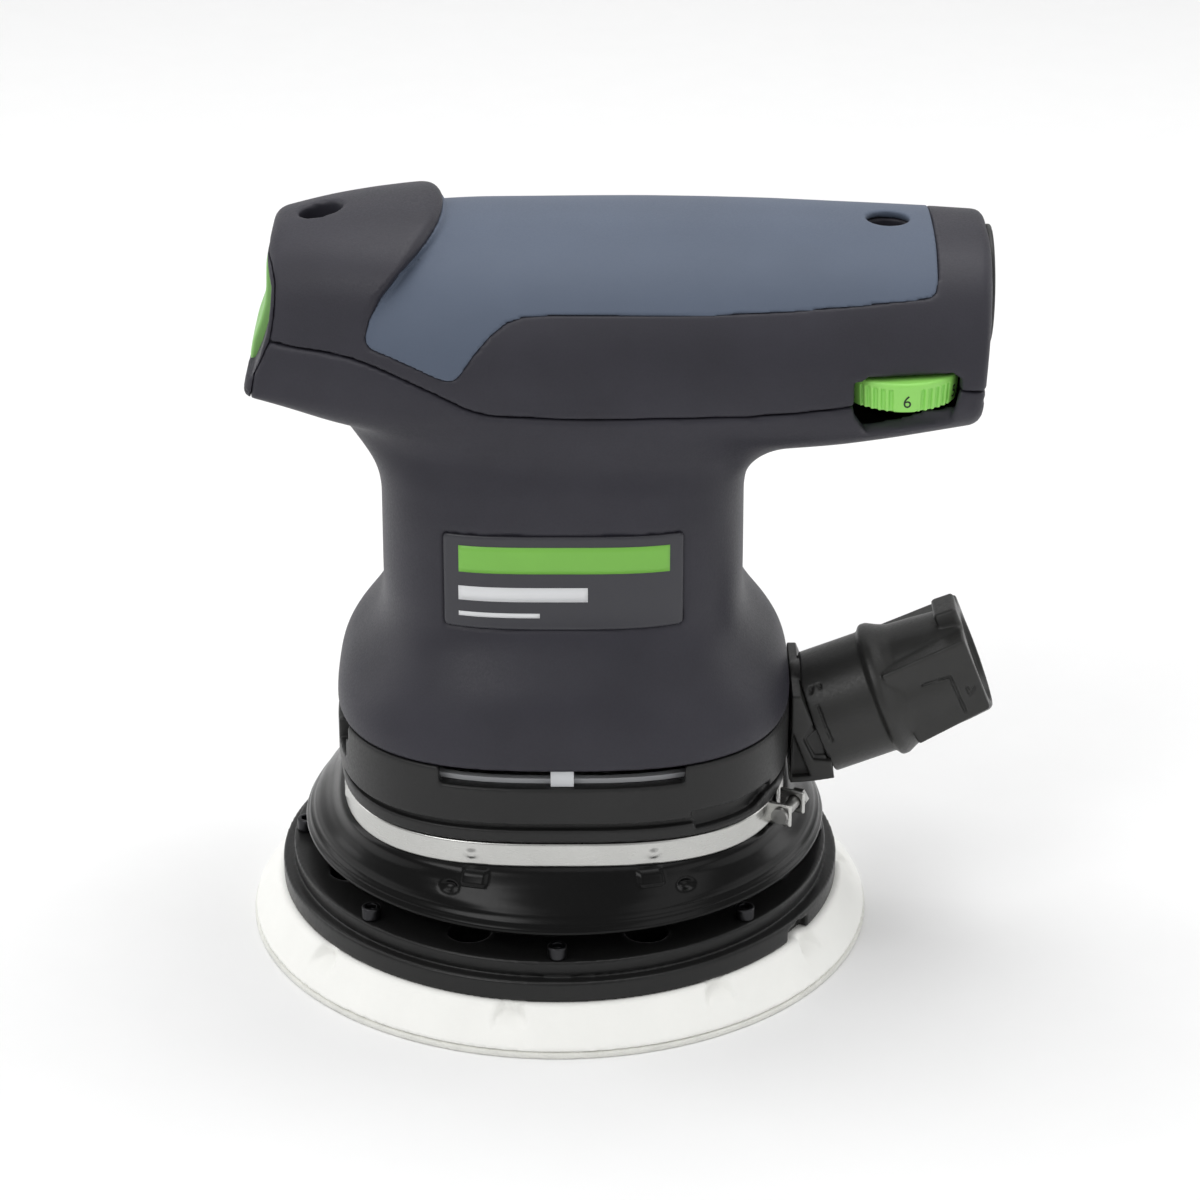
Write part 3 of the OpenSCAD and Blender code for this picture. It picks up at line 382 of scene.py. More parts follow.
def hood_field(g):
    """Height of the raised front part. It falls to the grip in a hollow curve, more steeply at the sides."""
    edge_z, edge_x = zip(*[(z, x) for x, z in reversed(GRIP_EDGE)])
    before = np.interp(g.z, edge_z, edge_x) - g.x
    slope = 3.4 + 5.6 * step((g.z - 144) / 6)
    return HOOD(g.x) * step((g.z - 131) / 17) * step(before / slope + 0.47)


def shape_field(g):
    """Outside of the whole housing, before it is split."""
    fillet = 5.7 + 1.9 * np.clip(g.x / 35, -1, 1)
    d = smin(handle_field(g), body_field(g), fillet)
    d = g.level(d - hood_field(g))
    ends = smax(-front_distance(g), g.x - 79.3 - 0.065 * (g.z - 122), 1)
    return smax(d, ends, 2.4)


def side_view(g, points):
    """A side-view outline as a field, the same all the way across."""
    return polygon_distance(g.x[:, :, 0], g.z[0], points)[:, None, :]


def seam_field(g):
    """Distance above the seam between the housing's halves."""
    xs, zs = zip(*SEAM)
    smooth = curve(SEAM, 1.5)
    rise = np.gradient(smooth(g.x[:, 0, 0]), g.pitch)[:, None, None]
    return (g.z - smooth(g.x)) / np.sqrt(1 + rise * rise)


def wheel_space(g, gap=0.9):
    """Room for the speed wheel, with a scoop for the finger below it."""
    well = smax(np.hypot(g.x - WHEEL_X, g.y - WHEEL_Y) - WHEEL_R - gap, np.abs(g.z - 123.25) - 3.65, 0.6)
    floor = (116.3 + 1.08 * (g.y + 26.4) - g.z) * 0.68
    left = (np.maximum(54.4, 53.6 + 0.61 * (121 - g.z)) - g.x) * 0.85
    right = g.x - np.minimum(74.4, 72.1 + 0.29 * (g.z - 116))
    scoop = smax(smax(floor, smax(left, right, 1), 0.5), smax(g.y + 25.6, g.z - 126.2, 0.5), 0.5)
    return smin(well, scoop, 0.6)


def screw_wells(g):
    wells = [smax(np.hypot(g.x - x, g.y) - 4.15, z - g.z, 0.3) for x, z in zip(SCREW_X, SEAT_Z)]
    return np.minimum(*wells)


def inlet_hole(g, r):
    return smax(np.hypot(g.y, g.z - 134.5) - r, 66 - g.x, 0.3)


def hollow(g, shape, wall):
    """The shell's inside, closed at the rear and under the handle's front cap."""
    return smax(shape + wall, g.x - 77.5, 1)


def housing_pieces():
    g = Grid((-62, -36, 112), (83, 36, 156), 0.55)
    shape, seam = shape_field(g), seam_field(g)
    grip = side_view(g, GRIP_OUTLINE)
    cap = front_outline(g, CAP_EDGE)
    window = rocker_window(g)
    common = minus(minus(shape, cap - 0.05, 0.3), window, 0.3)
    common = minus(common, inlet_hole(g, 11.4), 0.5)
    common = minus(common, wheel_space(g), 0.6)
    common = minus(common, screw_wells(g), 0.7)
    inside = hollow(g, shape, WALL + 0.4)
    towers = np.minimum(*[np.hypot(g.x - x, g.y) - 6.2 for x in SCREW_X])
    inside = np.maximum(inside, -towers)
    upper = minus(common, inside, 0.3)
    upper = smax(upper, 0.1 - seam, 0.45)
    upper = np.maximum(upper, np.minimum(-grip - 0.02, shape + GRIP_T + 0.05))
    carve("upper_housing", g, upper, "housing", HOUSING, "housing_plastic", replaces=["upper_shell"])
    g = Grid((-62, -46, 50), (83, 46, 135), 0.62)
    shape, seam = shape_field(g), seam_field(g)
    lower = minus(minus(shape, front_outline(g, CAP_EDGE) - 0.05, 0.3), rocker_window(g), 0.3)
    lower = minus(lower, inlet_hole(g, 11.4), 0.5)
    lower = minus(lower, wheel_space(g), 0.6)
    lower = minus(lower, screw_wells(g), 0.7)
    inside = smax(hollow(g, shape, WALL), 40 - g.z, 0.3)
    open_end = smax(squircle(g.x, g.y, 42, 41.3, 2.85), g.z - 60, 1)
    lower = minus(minus(lower, inside, 0.3), open_end, 0.3)
    lower = smax(lower, seam + 0.1, 0.45)
    lower = np.maximum(lower, np.minimum(-label_field(g) + 0.05, shape + 0.6))
    carve("lower_housing", g, lower, "housing", HOUSING, "housing_plastic", replaces=["lower_shell"])


def rocker_window(g):
    return box_field(g.x, g.y, g.z, (-75, -10.35, 122.1), (-50, 10.35, 144.1), 1.0)


def grip_piece():
    g = Grid((-38, -34, 125.5), (72, 34, 155), 0.42)
    shape = shape_field(g)
    panel = smax(smax(shape - 0.06, side_view(g, GRIP_OUTLINE) - 0.04, 0.25), -shape - GRIP_T, 0.2)
    panel = minus(panel, np.hypot(g.x - SCREW_X[1], g.y) - 4.1, 0.4)
    carve("grip_cover", g, panel, "housing", GRIP, "soft_grip", replaces=["grip_panel"])


def front_piece():
    g = Grid((-62, -26, 112), (-50, 26, 150), 0.3)
    shape, edge = shape_field(g), front_outline(g, CAP_EDGE)
    tongue = smax(shape + 1, edge - 1.8, 0.3)
    cap = smin(smax(shape, edge, 0.25), tongue, 0.2)
    cap = minus(cap, front_outline(g, CAP_RECESS), 0.5)
    cap = minus(cap, rocker_window(g), 0.5)
    carve("front_plate", g, cap, "housing", HOUSING, "housing_plastic", replaces=["front_cap"])


def label_field(g, inset=0.0, r=1.0):
    x0, x1, z0, z1 = LABEL_BOX
    dx = np.abs(g.x - (x0 + x1) / 2) - (x1 - x0) / 2 + inset + r
    dz = np.abs(g.z - (z0 + z1) / 2) - (z1 - z0) / 2 + inset + r
    flat = np.hypot(np.maximum(dx, 0), np.maximum(dz, 0)) + np.minimum(np.maximum(dx, dz), 0) - r
    return np.maximum(flat, g.y)


def neck_y(x, z):
    """Depth of the neck's front at a place on it."""
    a, b, n = BODY_A(z), BODY_B(z), BODY_N(z)
    return -b * (1 - np.minimum(0.999, np.abs(x / a) ** n)) ** (1 / n)


def patch(outline, depth, lift):
    """A thin rectangular patch laid on the neck: x, z of two corners."""
    x0, x1, z0, z1 = outline
    nx, nz = max(4, int((x1 - x0) / 0.8)), max(3, int((z1 - z0) / 0.8))
    xs, zs = np.meshgrid(np.linspace(x0, x1, nx), np.linspace(z0, z1, nz), indexing="ij")
    layers = []
    for rise in (lift, lift - depth):
        layers.append(np.stack([xs, neck_y(xs, zs) - rise, zs], axis=-1).reshape(-1, 3))
    index = np.arange(nx * nz).reshape(nx, nz)
    quads = np.stack([index[:-1, :-1], index[1:, :-1], index[1:, 1:], index[:-1, 1:]], axis=-1).reshape(-1, 4)
    rim = np.concatenate([index[:, 0], index[-1, 1:], index[-2::-1, -1], index[0, -2:0:-1]])
    wall = np.stack([rim, np.roll(rim, -1), np.roll(rim, -1) + nx * nz, rim + nx * nz], axis=1)
    return np.concatenate(layers), np.concatenate([quads, quads[:, ::-1] + nx * nz, wall[:, ::-1]])


def label_pieces():
    g = Grid((-24, -36, 77), (26, -26, 101), 0.3)
    shape = g.level(body_field(g))
    plate = smax(smax(shape - 0.12, label_field(g, 0.15), 0.5), -shape - 0.55, 0.15)
    carve("label", g, plate, "housing", LABEL, "label_film", replaces=["label_plate"])
    bars = [("label_bar_green", (-19.5, 20.4, 88.8, 94.2), GREEN_INK),
            ("label_bar_pale", (-19.6, 4.9, 83, 85.9), PALE_INK),
            ("label_line_pale", (-19.6, -4.2, 79.7, 80.6), PALE_INK)]
    for name, outline, ink in bars:
        points, faces = patch(outline, 0.16, 0.2)
        piece(name, points, faces, "housing", ink, "label_film")


# ---------- Controls ----------

ROCKER_Z, ROCKER_HALF, ROCKER_W = 133.1, 10.4, 20


def rocker_pieces():
    g = Grid((-62, -11.5, 121), (-50, 11.5, 146), 0.2)
    face = curve([(-10.4, 0.3), (-9.7, -0.1), (-6.1, -0.05), (-2.1, 0.65), (1.3, 0.95), (4.6, 0.7), (7.3, 0.25),
                  (9.5, -0.05), (10.4, 0.1)], 0.5)
    up = g.z - ROCKER_Z
    off = front_distance(g)
    crown = 0.25 * (g.y / (ROCKER_W / 2)) ** 4
    d = smax(face(up) + crown - off, off - 4, 0.4)
    d = smax(d, np.abs(g.y) - ROCKER_W / 2, 0.7)
    d = smax(d, np.abs(up) - ROCKER_HALF, 0.7)
    for height in (-3.6, -1.8, 0, 1.8, 3.6):
        groove = np.hypot(off - face(up) - crown + 0.1, up - height)
        d = minus(d, np.maximum(groove - 0.42, np.abs(g.y) - 6.5), 0.25)
    carve("power_rocker", g, d, "rocker", LEAF, "rocker_plastic", replaces=["switch_rocker"])


def wheel_pieces():
    g = Grid((52, -31.5, 119.6), (75.2, -8, 127), 0.2)
    dx, dy = g.x - WHEEL_X, g.y - WHEEL_Y
    r, turn = np.hypot(dx, dy), np.arctan2(dy, dx)
    ribs, first = 44, -np.pi / 2 + 0.055
    spacing = 2 * np.pi / ribs
    local = (turn - first + spacing / 2) % spacing - spacing / 2
    digit_gap = np.abs(np.sin((turn - first) * 3)) < np.sin(0.52)
    low, high = WHEEL_Z
    lean = 0.35 * (high - g.z) / (high - low)
    rim = WHEEL_R - lean
    d = smax(smax(r - rim, g.z - high, 0.7), low - g.z, 0.5)
    groove = smax(smax(rim - 0.55 - r, np.abs(local) * r - 0.36, 0.2), g.z - high + 1.3, 0.3)
    groove = np.where(digit_gap, 2.0, groove)
    d = minus(d, groove, 0.35)
    d = minus(d, r - 2.15, 0.2)
    carve("speed_dial", g, d, "wheel", GREEN, "wheel_plastic", replaces=["speed_wheel"])
    for i in range(6):
        text = bpy.data.curves.new(f"dial_digit_{6 - i}", "FONT")
        text.body = str(6 - i)
        text.size = 3.4
        text.align_x = "CENTER"
        flat = bpy.data.objects.new(f"flat_{i}", text)
        bpy.context.scene.collection.objects.link(flat)
        bpy.context.view_layer.update()
        form = flat.evaluated_get(bpy.context.evaluated_depsgraph_get()).to_mesh()
        outline = np.array([v.co[:2] for v in form.vertices])
        faces = [list(p.vertices) for p in form.polygons]
        bpy.data.objects.remove(flat)
        points = []
        for layer in (0.05, -0.15):
            angle = first + i * np.pi / 3 + outline[:, 0] / WHEEL_R
            height = low + 1.1 + outline[:, 1]
            radius = WHEEL_R - 0.35 * (high - height) / (high - low) + layer
            x, y = WHEEL_X + radius * np.cos(angle), WHEEL_Y + radius * np.sin(angle)
            points.append(np.stack([x, y, height], axis=1))
        n = len(outline)
        edges = {}
        for f in faces:
            for a, b in zip(f, f[1:] + f[:1]):
                edges[(a, b)] = edges.get((a, b), 0) + 1
        wall = [(a, a + n, b + n, b) for a, b in edges if (b, a) not in edges]
        shut = faces + [[v + n for v in reversed(f)] for f in faces] + wall
        piece(f"dial_digit_{6 - i}", np.concatenate(points), shut, "wheel", DARK_INK, "wheel_plastic",
              smooth=False)


def inlet_pieces():
    g = Grid((66.8, -13, 121.8), (83, 13, 147.4), 0.3)
    r = np.hypot(g.y, g.z - 134.5)
    turn = np.arctan2(g.z - 134.5, g.y)
    d = smax(smax(r - 11.2, g.x - 81.6, 0.5), 67.5 - g.x, 0.4)
    flange = smax(smax(r - 11.6, g.x - 81.7, 0.5), 80.6 - g.x, 0.3)
    d = smin(d, flange, 0.3)
    d = minus(d, smax(r - 9.4, 76.6 - g.x, 0.3), 0.4)
    d = minus(d, smax(r - 7.4, 71 - g.x, 0.3), 0.3)
    for side in (-1, 1):
        slot = box_field(g.x, g.y - side * 9.4, g.z - 134.5, (78, -1.1, -1.6), (90, 1.1, 1.6), 0.3)
        d = minus(d, slot, 0.3)
        pin = np.hypot(g.y - side * 3.6, g.z - 134.5) - 1.55
        d = minus(d, smax(pin, g.x - 72, 0.2), 0.2)
    notch = box_field(g.x, g.y, g.z, (80.5, -0.5, 144.3), (90, 0.5, 145.6), 0.2)
    d = minus(d, notch, 0.2)
    carve("mains_socket", g, d, "housing", INLET, "inlet_plastic", replaces=["plug_inlet"])


# ---------- Fan end ----------

BASE_A, BASE_B, BASE_N = 44.9, 43.9, 2.85
Z_BAND, Z_RING, Z_VENT, VENT_W, BAND_H, BAND_A = 31.4, 36.6, 48.5, 47, 5, 43.35
PORT_X, PORT_Z, PORT_ANGLE, BORE_R = 49.3, 42.5, math.radians(21.3), 8.8
DUCT_X, SPIGOT_R, PORT_END = 45, 11.3, 35.4


def fan_housing_piece():
    g = Grid((-47, -47, 29.6), (47, 47, 52.8), 0.42)
    d0 = squircle(g.x, g.y, BASE_A, BASE_B, BASE_N)

    def slab(inset, low, high, r=0.35):
        return smax(smax(d0 + inset, low - g.z, r), g.z - high, r)

    d = np.minimum(slab(0, 40.6, 51.9), slab(1.7, 38.6, 42))
    d = np.minimum(d, slab(0.45, Z_RING, 39.3))
    d = np.minimum(d, slab(2.95, 30.5, 38))
    chamber = np.maximum(d0 + 4.6, 34.8 - g.z)
    seat = np.maximum(d0 + 2.9, 45.3 - g.z)
    mouth = np.maximum(np.maximum(d0 + 4.6, g.z - 33), 29 - g.z)
    throat = np.hypot(g.x, g.y) - 26
    d = minus(d, np.minimum(np.minimum(chamber, seat), np.minimum(mouth, throat)), 0.3)
    for turn in (180, 270, 90):
        c, s = math.cos(math.radians(turn)), math.sin(math.radians(turn))
        u, v = g.x * c + g.y * s, -g.x * s + g.y * c
        d = minus(d, box_field(u, v, g.z, (36, -VENT_W / 2, Z_VENT), (50, VENT_W / 2, 53), 0.6), 0.3)
    d = minus(d, box_field(g.x, g.y, g.z, (36, -10, 37), (60, 10, 45), 0.5), 0.3)
    wedge = polygon_distance(g.x[:, :, 0], g.z[0], [(24.5, 42), (25.5, 38), (36.5, 38), (40, 39.6), (40, 41.9)])
    wedge = np.maximum(wedge[:, None, :], g.y + 27)
    d = minus(d, np.maximum(wedge, -(d0 + 2.2)), 0.3)
    notch = box_field(g.x, g.y, g.z, (-50, -22, 44.5), (-41.5, -14, 60), 0.4)
    d = minus(d, notch, 0.3)
    carve("fan_case", g, d, "housing", BASE, "base_plastic", replaces=["fan_housing"])


def port_axes(g):
    c, s = math.cos(PORT_ANGLE), math.sin(PORT_ANGLE)
    along = (g.x - PORT_X) * c + (g.z - PORT_Z) * s
    up = -(g.x - PORT_X) * s + (g.z - PORT_Z) * c
    return along, g.y + 0 * along, up


def duct_piece():
    g = Grid((44.4, -14, 30.6), (60.5, 14, 54), 0.22)
    s, y, v = port_axes(g)
    r = np.hypot(y, v)
    cheek = side_view(g, [(DUCT_X, 52.6), (46.9, 52.6), (49.4, 46.4), (47.5, 43.1), (49.6, 38.6), (53.2, 38.3),
                          (53.9, 34.5), (49.7, 33.8), (DUCT_X, 33.4)])
    block = side_view(g, [(DUCT_X, 52), (47, 52), (52.4, 38.4), (52.9, 34.7), (DUCT_X, 33.9)])
    base = side_view(g, [(DUCT_X, 35), (52.4, 35), (51.6, 31.6), (DUCT_X, 31.6)])
    d = smax(cheek, np.abs(g.y) - 12.6, 0.4)
    d = smin(d, smax(block, np.abs(g.y) - 11.6, 0.4), 0.3)
    d = smin(d, smax(base, np.abs(g.y) - 8, 0.4), 0.3)
    window = side_view(g, [(45.4, 44.4), (45.4, 34.7), (49, 35)])
    d = minus(d, smax(window, 11 - np.abs(g.y), 0.2), 0.3)
    clip = side_view(g, [(48.1, 42.8), (50, 45), (52.6, 40.2), (52.2, 39.3), (49.9, 39.2)])
    d = minus(d, smax(clip, 11.1 - np.abs(g.y), 0.2), 0.2)
    spigot = smax(smax(r - SPIGOT_R, -3 - s, 0.2), s - 9.2, 0.3)
    d = smin(d, spigot, 0.2)
    d = minus(d, np.maximum(r - BORE_R - 0.7, 32.6 - g.z), 0.3)
    d = smax(d, DUCT_X + 0.02 - g.x, 0.2)
    carve("duct_base", g, d, "housing", PORT, "base_plastic", replaces=["dust_duct"])


def mark(s, v, points, width):
    """Distance from an engraved line through points of the connector's side view."""
    best = np.full(np.broadcast(s, v).shape, 1e3, np.float32)
    for (ax, ay), (bx, by) in zip(points, points[1:]):
        ex, ey = bx - ax, by - ay
        t = np.clip(((s - ax) * ex + (v - ay) * ey) / (ex * ex + ey * ey), 0, 1)
        best = np.minimum(best, np.hypot(s - ax - t * ex, v - ay - t * ey) - width)
    return best


def connector_piece():
    g = Grid((47, -15, 30), (87.5, 15, 72), 0.28)
    s, y, v = port_axes(g)
    r = np.hypot(y, v)
    profile = curve([(0, 12.5), (14.5, 12.5), (14.8, 13.3), (15.4, 13.75), (16.6, 13.7), (18.6, 12.7),
                     (20.6, 12), (25, 11.8), (30, 11.4), (34.6, 10.8), (PORT_END, 10.2)], 0.22)
    d = r - profile(s)
    top, bottom = 8.4 + (s - 19) * 0.07, -8.8 + (s - 19) * 0.14
    plate = smax(np.abs(y) - 11.5 + (s - 20) * 0.04, smax(v - top, bottom - v, 0.4), 0.5)
    plate = smax(plate, smax(17.4 + 0.12 * (top - v) - s, s - PORT_END, 0.3), 0.7)
    d = smin(d, plate, 0.35)
    d = smax(smax(d, 1.6 - s, 0.25), s - PORT_END, 0.3)
    lug = box_field(s, y, v, (30.7, -4.2, 8), (PORT_END, 4.2, 13.4), 0.8)
    d = smin(d, lug, 0.3)
    marks = [[(3, 8.6), (4.4, 10.4), (5.2, 8.9)], [(3.6, 6), (3.7, -1.2)],
             [(24.4, 3.4), (30.1, 3.1), (30.4, -5.2)], [(32.4, -0.4), (32.5, -2), (33.9, -0.9)]]
    for points in marks:
        line = mark(s, v, points, 0.24)
        d = minus(d, np.maximum(np.maximum(line, y + 8), -d - 0.45), 0.12)
    d = smax(d, BORE_R - r, 0.25)
    d = minus(d, np.maximum(r - SPIGOT_R - 0.1, s - 9.4), 0.2)
    d = minus(d, smax(r - BORE_R - 0.4, PORT_END - 1 - s, 0.5), 0.3)
    carve("dust_socket", g, d, "housing", PORT, "base_plastic", replaces=["dust_connector"])


SKIRT_HOLES, SKIRT_TABS = (-116.5, -61, 61, 116.5), (-111, -69, 69, 111)


def skirt_piece():
    """A soft flared ring. Its outline goes from the neck's rounded square to a circle."""
    outer = [(36.4, 43), (36.5, 43.1), (36.4, 43.3), (31.9, 43.3), (31.4, 43.9), (31, 44.7), (30.4, 45.3),
             (29.4, 46), (28.6, 46.6), (27, 48.1), (25.6, 49.6), (24.4, 50.7), (23.9, 50.9), (23.6, 51.4),
             (23, 51.8), (22.6, 51.8), (22.3, 52.2), (21.7, 52.4), (21.3, 52.2), (21.2, 51.7)]
    inner = [(21.3, 51), (22.5, 50.2), (24.2, 49.4), (26.6, 47.2), (28.6, 45.2), (30.4, 43.9), (31.6, 42.4),
             (36.3, 42.3)]
    outer, inner = refine(outer, 0.45), refine(inner, 0.8)
    power = curve([(16, 2), (24, 2), (29, 2.45), (31, 2.75), (32, 2.85), (37, 2.85)], 0.6)
    flat = curve([(16, 0), (27, 0), (31.4, 0.6), (37, 0.6)], 0.6)
    angles = np.linspace(0, 2 * np.pi, 720, endpoint=False)
    rings = []
    for z, a in outer + inner:
        r = ring_radius(angles, a, a - flat(z), power(z))
        for hole in SKIRT_HOLES:
            across = np.angle(np.exp(1j * (angles - math.radians(hole)))) * 48
            r = r - 1.1 * step(1.35 - np.hypot(across / 2.3, (z - 27.4) / 1.15) * 1.3)
        for tab in SKIRT_TABS:
            across = np.abs(np.angle(np.exp(1j * (angles - math.radians(tab)))) * 46)
            r = r + 0.75 * step((2.3 - across) / 0.4 + 0.5) * step((1.2 - abs(z - 29.6)) / 0.5 + 0.5)
        rings.append(np.stack([r * np.cos(angles), r * np.sin(angles), np.full_like(r, z)], axis=1))
    points, faces = loft(rings)
    piece("dust_skirt", points, faces, "housing", SKIRT, "skirt_rubber", replaces=["skirt"])


def refine(path, pitch):
    """Points along a path, no further apart than the pitch."""
    fine = []
    for (az, ar), (bz, br) in zip(path, path[1:]):
        count = max(1, int(math.hypot(bz - az, br - ar) / pitch))
        fine += [(az + (bz - az) * i / count, ar + (br - ar) * i / count) for i in range(count)]
    return fine + [path[-1]]


def ring_radius(angle, a, b, n):
    return (np.abs(np.cos(angle) / a) ** n + np.abs(np.sin(angle) / b) ** n) ** (-1 / n)


def band_piece():
    """The strap runs round in one strip and turns outwards at each end into an ear."""
    gap = math.radians(-27)
    angles = np.linspace(gap + 0.036, gap + 2 * np.pi - 0.08, 420)
    studs = np.radians([-112.5, -67.5, 67.5, 112.5, 157.5, 202.5])
    rows = []
    low, high, mid = Z_BAND, Z_BAND + BAND_H, Z_BAND + BAND_H / 2
    heights = np.concatenate([[low], np.linspace(low + 0.25, high - 0.25, 17), [high]])
    for z in heights:
        edge = 0.22 if z in (low, high) else 0.0
        r = ring_radius(angles, BAND_A + 0.72 - edge, BAND_A + 0.12 - edge, BASE_N)
        for stud in studs:
            across = (np.angle(np.exp(1j * (angles - stud)))) * 44
            r = r + 0.42 * np.exp(-((across ** 2 + (z - mid) ** 2) / 0.85) ** 2)
        rows.append(np.stack([r * np.cos(angles), r * np.sin(angles), np.full_like(r, z)], axis=1))
    inner = ring_radius(angles, BAND_A + 0.06, BAND_A - 0.54, BASE_N)
    for z in (high, low):
        rows.append(np.stack([inner * np.cos(angles), inner * np.sin(angles), np.full_like(inner, z)], axis=1))
    rings = [np.array([row[i] for row in rows]) for i in range(len(angles))]
    points, faces = loft(rings, closed=False)
    m = len(rows)
    caps = [tuple(range(m - 1, -1, -1)), tuple(range((len(angles) - 1) * m, len(angles) * m))]
    strap = (points, [tuple(f) for f in faces] + caps)
    parts = [strap]
    c, s = math.cos(gap), math.sin(gap)
    for v0 in (-4.6, 1.7):
        g = Grid((38.5, -29.5, 30.8), (49, -18, 37), 0.22)
        u, v = g.x * c + g.y * s, -g.x * s + g.y * c
        ear = box_field(u, v, g.z, (47, v0, low + 0.1), (52.3, v0 + 0.8, high - 0.1), 0.35)
        ear = minus(ear, np.hypot(u - 50.2, g.z - mid) - 1.35, 0.2)
        parts.append(g.surface(ear))
    points, faces = merge(parts)
    piece("hose_clamp", points, faces, "housing", BAND, "band_steel", replaces=["clamp_band"])


# ---------- Pad ----------

PAD_X, PAD_R, HOLE_PCD, HOLE_R = -1, 62.5, 90, 4.75


def dust_hole_field(g):
    x, y = g.x - PAD_X, g.y
    turn = np.arctan2(y, x) - math.radians(22.5)
    turn = (turn + np.pi / 8) % (np.pi / 4) - np.pi / 8
    r = np.hypot(x, y)
    return np.hypot(r * np.cos(turn) - HOLE_PCD / 2, r * np.sin(turn)) - HOLE_R


def foam_piece():
    g = Grid((PAD_X - 64, -64, 0.6), (PAD_X + 64, 64, 13.6), 0.55)
    r = np.hypot(g.x - PAD_X, g.y)
    side = curve([(0, 62.4), (1.6, 62.35), (2.4, 61.9), (4.6, 60.2), (6.8, 58.5), (8.9, 57.1), (11, 56)], 0.35)
    d = smax(smax(r - side(g.z), 1.23 - g.z, 0.25), g.z - 8.85, 0.5)
    d = smin(d, smax(smax(r - 49.9, g.z - 12.85, 0.3), 5 - g.z, 0.3), 0.2)
    d = smax(d, 9.6 - r, 0.4)
    d = minus(d, dust_hole_field(g), 0.3)
    for angle in (-142, -99, -57.5, -31.5, 3, 38, 81, 122, 164):
        a = math.radians(angle)
        u = (g.x - PAD_X) * math.cos(a) + g.y * math.sin(a)
        v = -(g.x - PAD_X) * math.sin(a) + g.y * math.cos(a)
        pocket = np.hypot((u - 59.4) / 1.25, v) - 3.0
        d = minus(d, np.maximum(pocket, 4.8 + 0.5 * (60 - u) - g.z), 0.7)
    ob = carve("foam_pad", g, d, "pad", FOAM, "pad_foam", replaces=["pad_foam"])


def hook_piece():
    g = Grid((PAD_X - 64, -64, -0.6), (PAD_X + 64, 64, 1.8), 0.4)
    r = np.hypot(g.x - PAD_X, g.y)
    d = smax(smax(r - PAD_R, -g.z, 0.15), g.z - 1.2, 0.2)
    d = minus(smax(d, 9.6 - r, 0.2), dust_hole_field(g), 0.2)
    carve("hook_layer", g, d, "pad", HOOKS, "hook_fabric", replaces=["hook_face"])


def plate_piece():
    g = Grid((PAD_X - 57.2, -57.2, 8.2), (PAD_X + 57.2, 57.2, 17), 0.42)
    r = np.hypot(g.x - PAD_X, g.y)
    d = smax(smax(r - 54, 13.2 - g.z, 0.3), g.z - 16.38, 0.4)
    neck = smax(smax(r - 53, 12.9 - g.z, 0.1), g.z - 14.4, 0.2)
    rim = smax(smax(r - 56.3, 8.9 - g.z, 0.35), g.z - 13.15, 0.45)
    d = smin(smin(d, neck, 0.15), rim, 0.15)
    a = math.radians(-32.6)
    u = (g.x - PAD_X) * math.cos(a) + g.y * math.sin(a)
    v = -(g.x - PAD_X) * math.sin(a) + g.y * math.cos(a)
    d = minus(d, box_field(u, v, g.z, (54.4, -3.6, 5), (60, 3.6, 11.6), 0.4), 0.3)
    d = minus(d, box_field(u, v, g.z, (54.9, -0.9, 5), (60, 0.9, 12.3), 0.3), 0.3)
    under = smax(r - 50, g.z - 12.9, 0.3)
    d = minus(d, under, 0.3)
    d = smax(d, 4.3 - r, 0.2)
    # A dark tube in plate plastic lines the upper part of each dust hole: painted shade standing in for the
    # shade deep inside the holes.
    hole_shade_liner = smax(smax(dust_hole_field(g) + 0.05, 8.5 - g.z, 0.1), g.z - 14, 0.1)
    d = minus(smin(d, hole_shade_liner, 0.1), dust_hole_field(g) + 0.5, 0.3)
    for k in range(24):
        a = math.radians(15 * k)
        v = -(g.x - PAD_X) * math.sin(a) + g.y * math.cos(a)
        u = (g.x - PAD_X) * math.cos(a) + g.y * math.sin(a)
        web = box_field(u, v, g.z, (53.1, -0.4, 12.9), (53.8, 0.4, 13.4), 0.1)
        d = np.minimum(d, web)
    carve("backing_plate", g, d, "pad", PLATE, "pad_plastic", replaces=["pad_plate"])


def post_piece():
    parts = []
    for k in range(8):
        a = math.radians(45 * k)
        x, y = PAD_X + 51.6 * math.cos(a), 51.6 * math.sin(a)
        g = Grid((x - 2.4, y - 2.4, 15.8), (x + 2.4, y + 2.4, 19.4), 0.16)
        r = np.hypot(g.x - x, g.y - y)
        turn = np.arctan2(g.y - y, g.x - x)
        hexagon = r * np.cos((turn + np.pi / 6) % (np.pi / 3) - np.pi / 6) - 0.95
        d = smax(smax(r - 1.88, 16.42 - g.z, 0.1), g.z - 18.95, 0.3)
        parts.append(g.surface(minus(d, np.maximum(hexagon, 17.8 - g.z), 0.12)))
    points, faces = merge(parts)
    piece("plate_screws", points, faces, "pad", BLACK_ZINC, "fastener_steel", replaces=["pad_posts"])


# ---------- Stage ----------

def light(name, kind, at, aim, size, power, shape="RECTANGLE"):
    data = bpy.data.lights.new(name, kind)
    data.energy = power
    data.shape = shape
    data.size, data.size_y = size
    ob = bpy.data.objects.new(name, data)
    ob.location = at
    ob.rotation_euler = (Vector(aim) - Vector(at)).to_track_quat("-Z", "Y").to_euler()
    bpy.context.scene.collection.objects.link(ob)


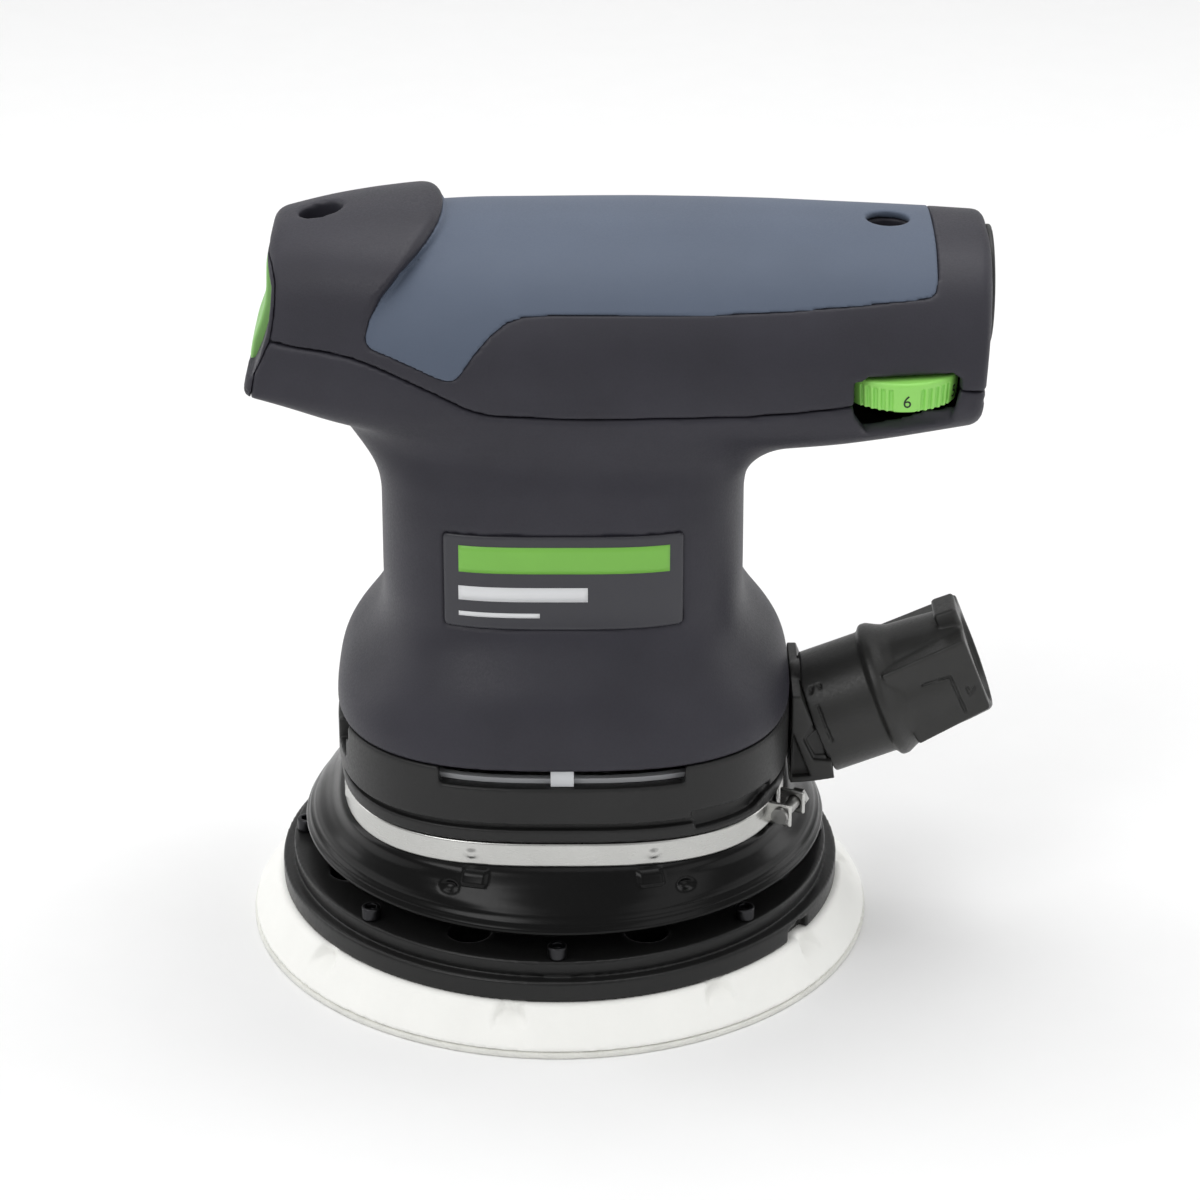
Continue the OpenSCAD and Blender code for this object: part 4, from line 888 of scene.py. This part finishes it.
def stage_set():
    scene = bpy.context.scene
    scene.view_settings.view_transform = "Standard"
    world = bpy.data.worlds.new("studio")
    world.use_nodes = True
    world.node_tree.nodes["Background"].inputs["Color"].default_value = (1, 1, 1, 1)
    world.node_tree.nodes["Background"].inputs["Strength"].default_value = 0.4
    scene.world = world
    size, back, bend = 2.4, 0.9, 0.5
    rows = [(-size, 0.0)]
    rows += [(back + bend * math.sin(t), bend - bend * math.cos(t)) for t in np.linspace(0, math.pi / 2, 24)]
    rows += [(back + bend, 2.4)]
    points = [(x, y, z) for y, z in rows for x in (-size, size)]
    faces = [(2 * i, 2 * i + 1, 2 * i + 3, 2 * i + 2) for i in range(len(rows) - 1)]
    mesh = bpy.data.meshes.new("floor")
    mesh.from_pydata(points, [], faces)
    mesh.polygons.foreach_set("use_smooth", [True] * len(faces))
    floor = bpy.data.objects.new("floor", mesh)
    scene.collection.objects.link(floor)
    paper = material("paper", (0.9, 0.9, 0.9), 0.9, specular=0.1, vary=0.005, grain=200, depth=0.0)
    mesh.materials.append(paper)
    middle = (0.005, 0, 0.08)
    light("key", "AREA", (-0.6, -0.7, 0.95), middle, (0.6, 0.6), 4.4)
    light("fill", "AREA", (0.8, -0.75, 0.6), middle, (0.6, 0.9), 1.5)
    light("top", "AREA", (0.05, 0.25, 1.15), middle, (1.1, 0.8), 8)
    light("rim_left", "AREA", (-0.8, 0.3, 0.45), middle, (0.35, 0.8), 1.6)
    light("rim_right", "AREA", (0.8, 0.3, 0.4), middle, (0.35, 0.8), 1.6)
    camera = bpy.data.cameras.new("camera")
    camera.sensor_width = 36
    camera.lens = 36 * 3895 / 1200
    ob = bpy.data.objects.new("camera", camera)
    ob.location = (0.0072, -0.7, 0.396)
    ob.rotation_euler = (math.radians(90 - 25.116), 0, 0)
    scene.collection.objects.link(ob)
    scene.camera = ob


stage_set()
housing_pieces()
grip_piece()
front_piece()
label_pieces()
rocker_pieces()
wheel_pieces()
inlet_pieces()
fan_housing_piece()
duct_piece()
connector_piece()
skirt_piece()
band_piece()
foam_piece()
hook_piece()
plate_piece()
post_piece()
